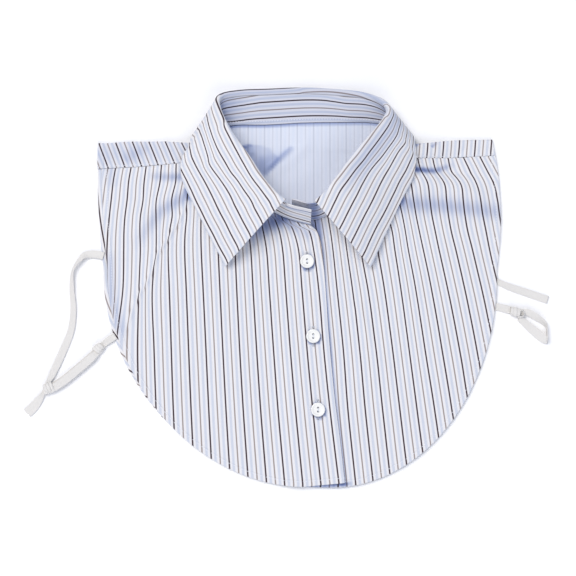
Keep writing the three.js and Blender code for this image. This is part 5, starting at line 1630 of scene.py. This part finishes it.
strap_left = tape("strap_left_elastic", *stations_of("strap_left", SIDE_LEFT))
strap_right = tape("strap_right_elastic", *stations_of("strap_right", SIDE_RIGHT))

place, turn, half, ahead = stations_of("left_stem", SIDE_LEFT)
left_stem = tape("loop_left_stem", place, turn, half, ahead, near_ends(len(place), first=0, last=0.25))
left_knot = wound("loop_left_knot", (*place[-1, :2], KNOT_HEIGHT), ahead[-1],
                  turns=3.2, pitch=2.3, wide=3.3, high=1.75, strip=2.6)

place, turn, half, ahead = (values[:PLY_END] for values in stations_of("left_ply", SIDE_LEFT))
parted = 2 * PLY_GAP * smooth(np.arange(len(place)), 0, TAPE_STEPS)
upper = place + np.stack([PLY_ASIDE * -ahead[:, 1], PLY_ASIDE * ahead[:, 0], parted + 0 * turn], axis=-1)
bend = np.radians(np.linspace(-90, 90, BEND_POINTS))[1:-1]
fold = (place[-1] + PLY_GAP * np.cos(bend)[:, None] * np.array([*ahead[-1], 0])
        + np.outer(1 + np.sin(bend), (upper[-1] - place[-1]) / 2))
both = np.concatenate([place, fold, upper[::-1]])


def there_and_back(values):
    """Values along the lower ply, round its end and back along the upper one."""
    return np.concatenate([values, np.repeat(values[-1:], len(bend), axis=0), values[::-1]])


left_band = tape("loop_left_band", both, there_and_back(turn), there_and_back(half), there_and_back(ahead))
left_end = wound("loop_left_wrapped_end", (*place[WRAPPED, :2], END_HEIGHT), ahead[WRAPPED],
                 turns=3.0, pitch=2.5, wide=3.9, high=1.8, strip=2.3)

place, turn, half, ahead = stations_of("right_stem", SIDE_RIGHT)
right_stem = tape("loop_right_stem", place, turn, half, ahead, near_ends(len(place), first=0, last=0.3))
right_knot = wound("loop_right_knot", (*place[-1, :2], KNOT_HEIGHT), ahead[-1],
                   turns=2.6, pitch=2.6, wide=3.3, high=1.75, strip=2.9)
right_ring = tape("loop_right_ring", *stations_of("right_ring", SIDE_RIGHT), crease=RING_CREASE)

EYE = (177.5, -11.4, 3.0)         # the middle of the eye that the loop's elastic makes beside its knot
EYE_RADIUS, EYE_HALF, EYE_POINTS = 3.1, 1.5, 41
EYE_TILT = math.radians(62)
around = np.linspace(0, 2 * math.pi, EYE_POINTS)
spoke = np.stack([np.cos(around), np.sin(around)], axis=-1)
place = np.concatenate([EYE[:2] + EYE_RADIUS * spoke, EYE[2] + 0 * around[:, None]], axis=-1)
right_eye = tape("loop_right_eye", place, np.full(EYE_POINTS, EYE_TILT), np.full(EYE_POINTS, EYE_HALF),
                 spoke @ np.array([[0, 1], [-1, 0]]))

# %% [markdown]
# Every piece rides on the one body, because nothing here has a joint.

# %% Riding on the body
def settle(piece, slot, *nodes):
    """The piece rides on the one body and stands for its solids. slot is not used."""
    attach(piece, "root")
    if nodes:
        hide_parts(*nodes)


settle(back_cloth, "striped_poplin", "back_panel")
settle(front_over, "striped_poplin", "front_panel_buttonhole")
settle(front_under, "striped_poplin", "front_panel_button")
settle(stand_cloth, "striped_poplin", "collar_stand")
settle(leaf_cloth, "striped_poplin", "collar_leaf")
settle(strap_left, "white_elastic", "strap_left")
settle(strap_right, "white_elastic", "strap_right")
settle(left_band, "white_elastic", "loop_left")
settle(right_ring, "white_elastic", "loop_right")
for node, piece in buttons.items():
    settle(piece, "shirt_button", node)
for piece in (left_stem, left_knot, left_end, right_stem, right_knot, right_eye):
    settle(piece, "white_elastic")
for piece in (hem_stitches, shoulder_stitches, neck_stitches, buttonhole_threads, button_threads):
    settle(piece, "striped_poplin")
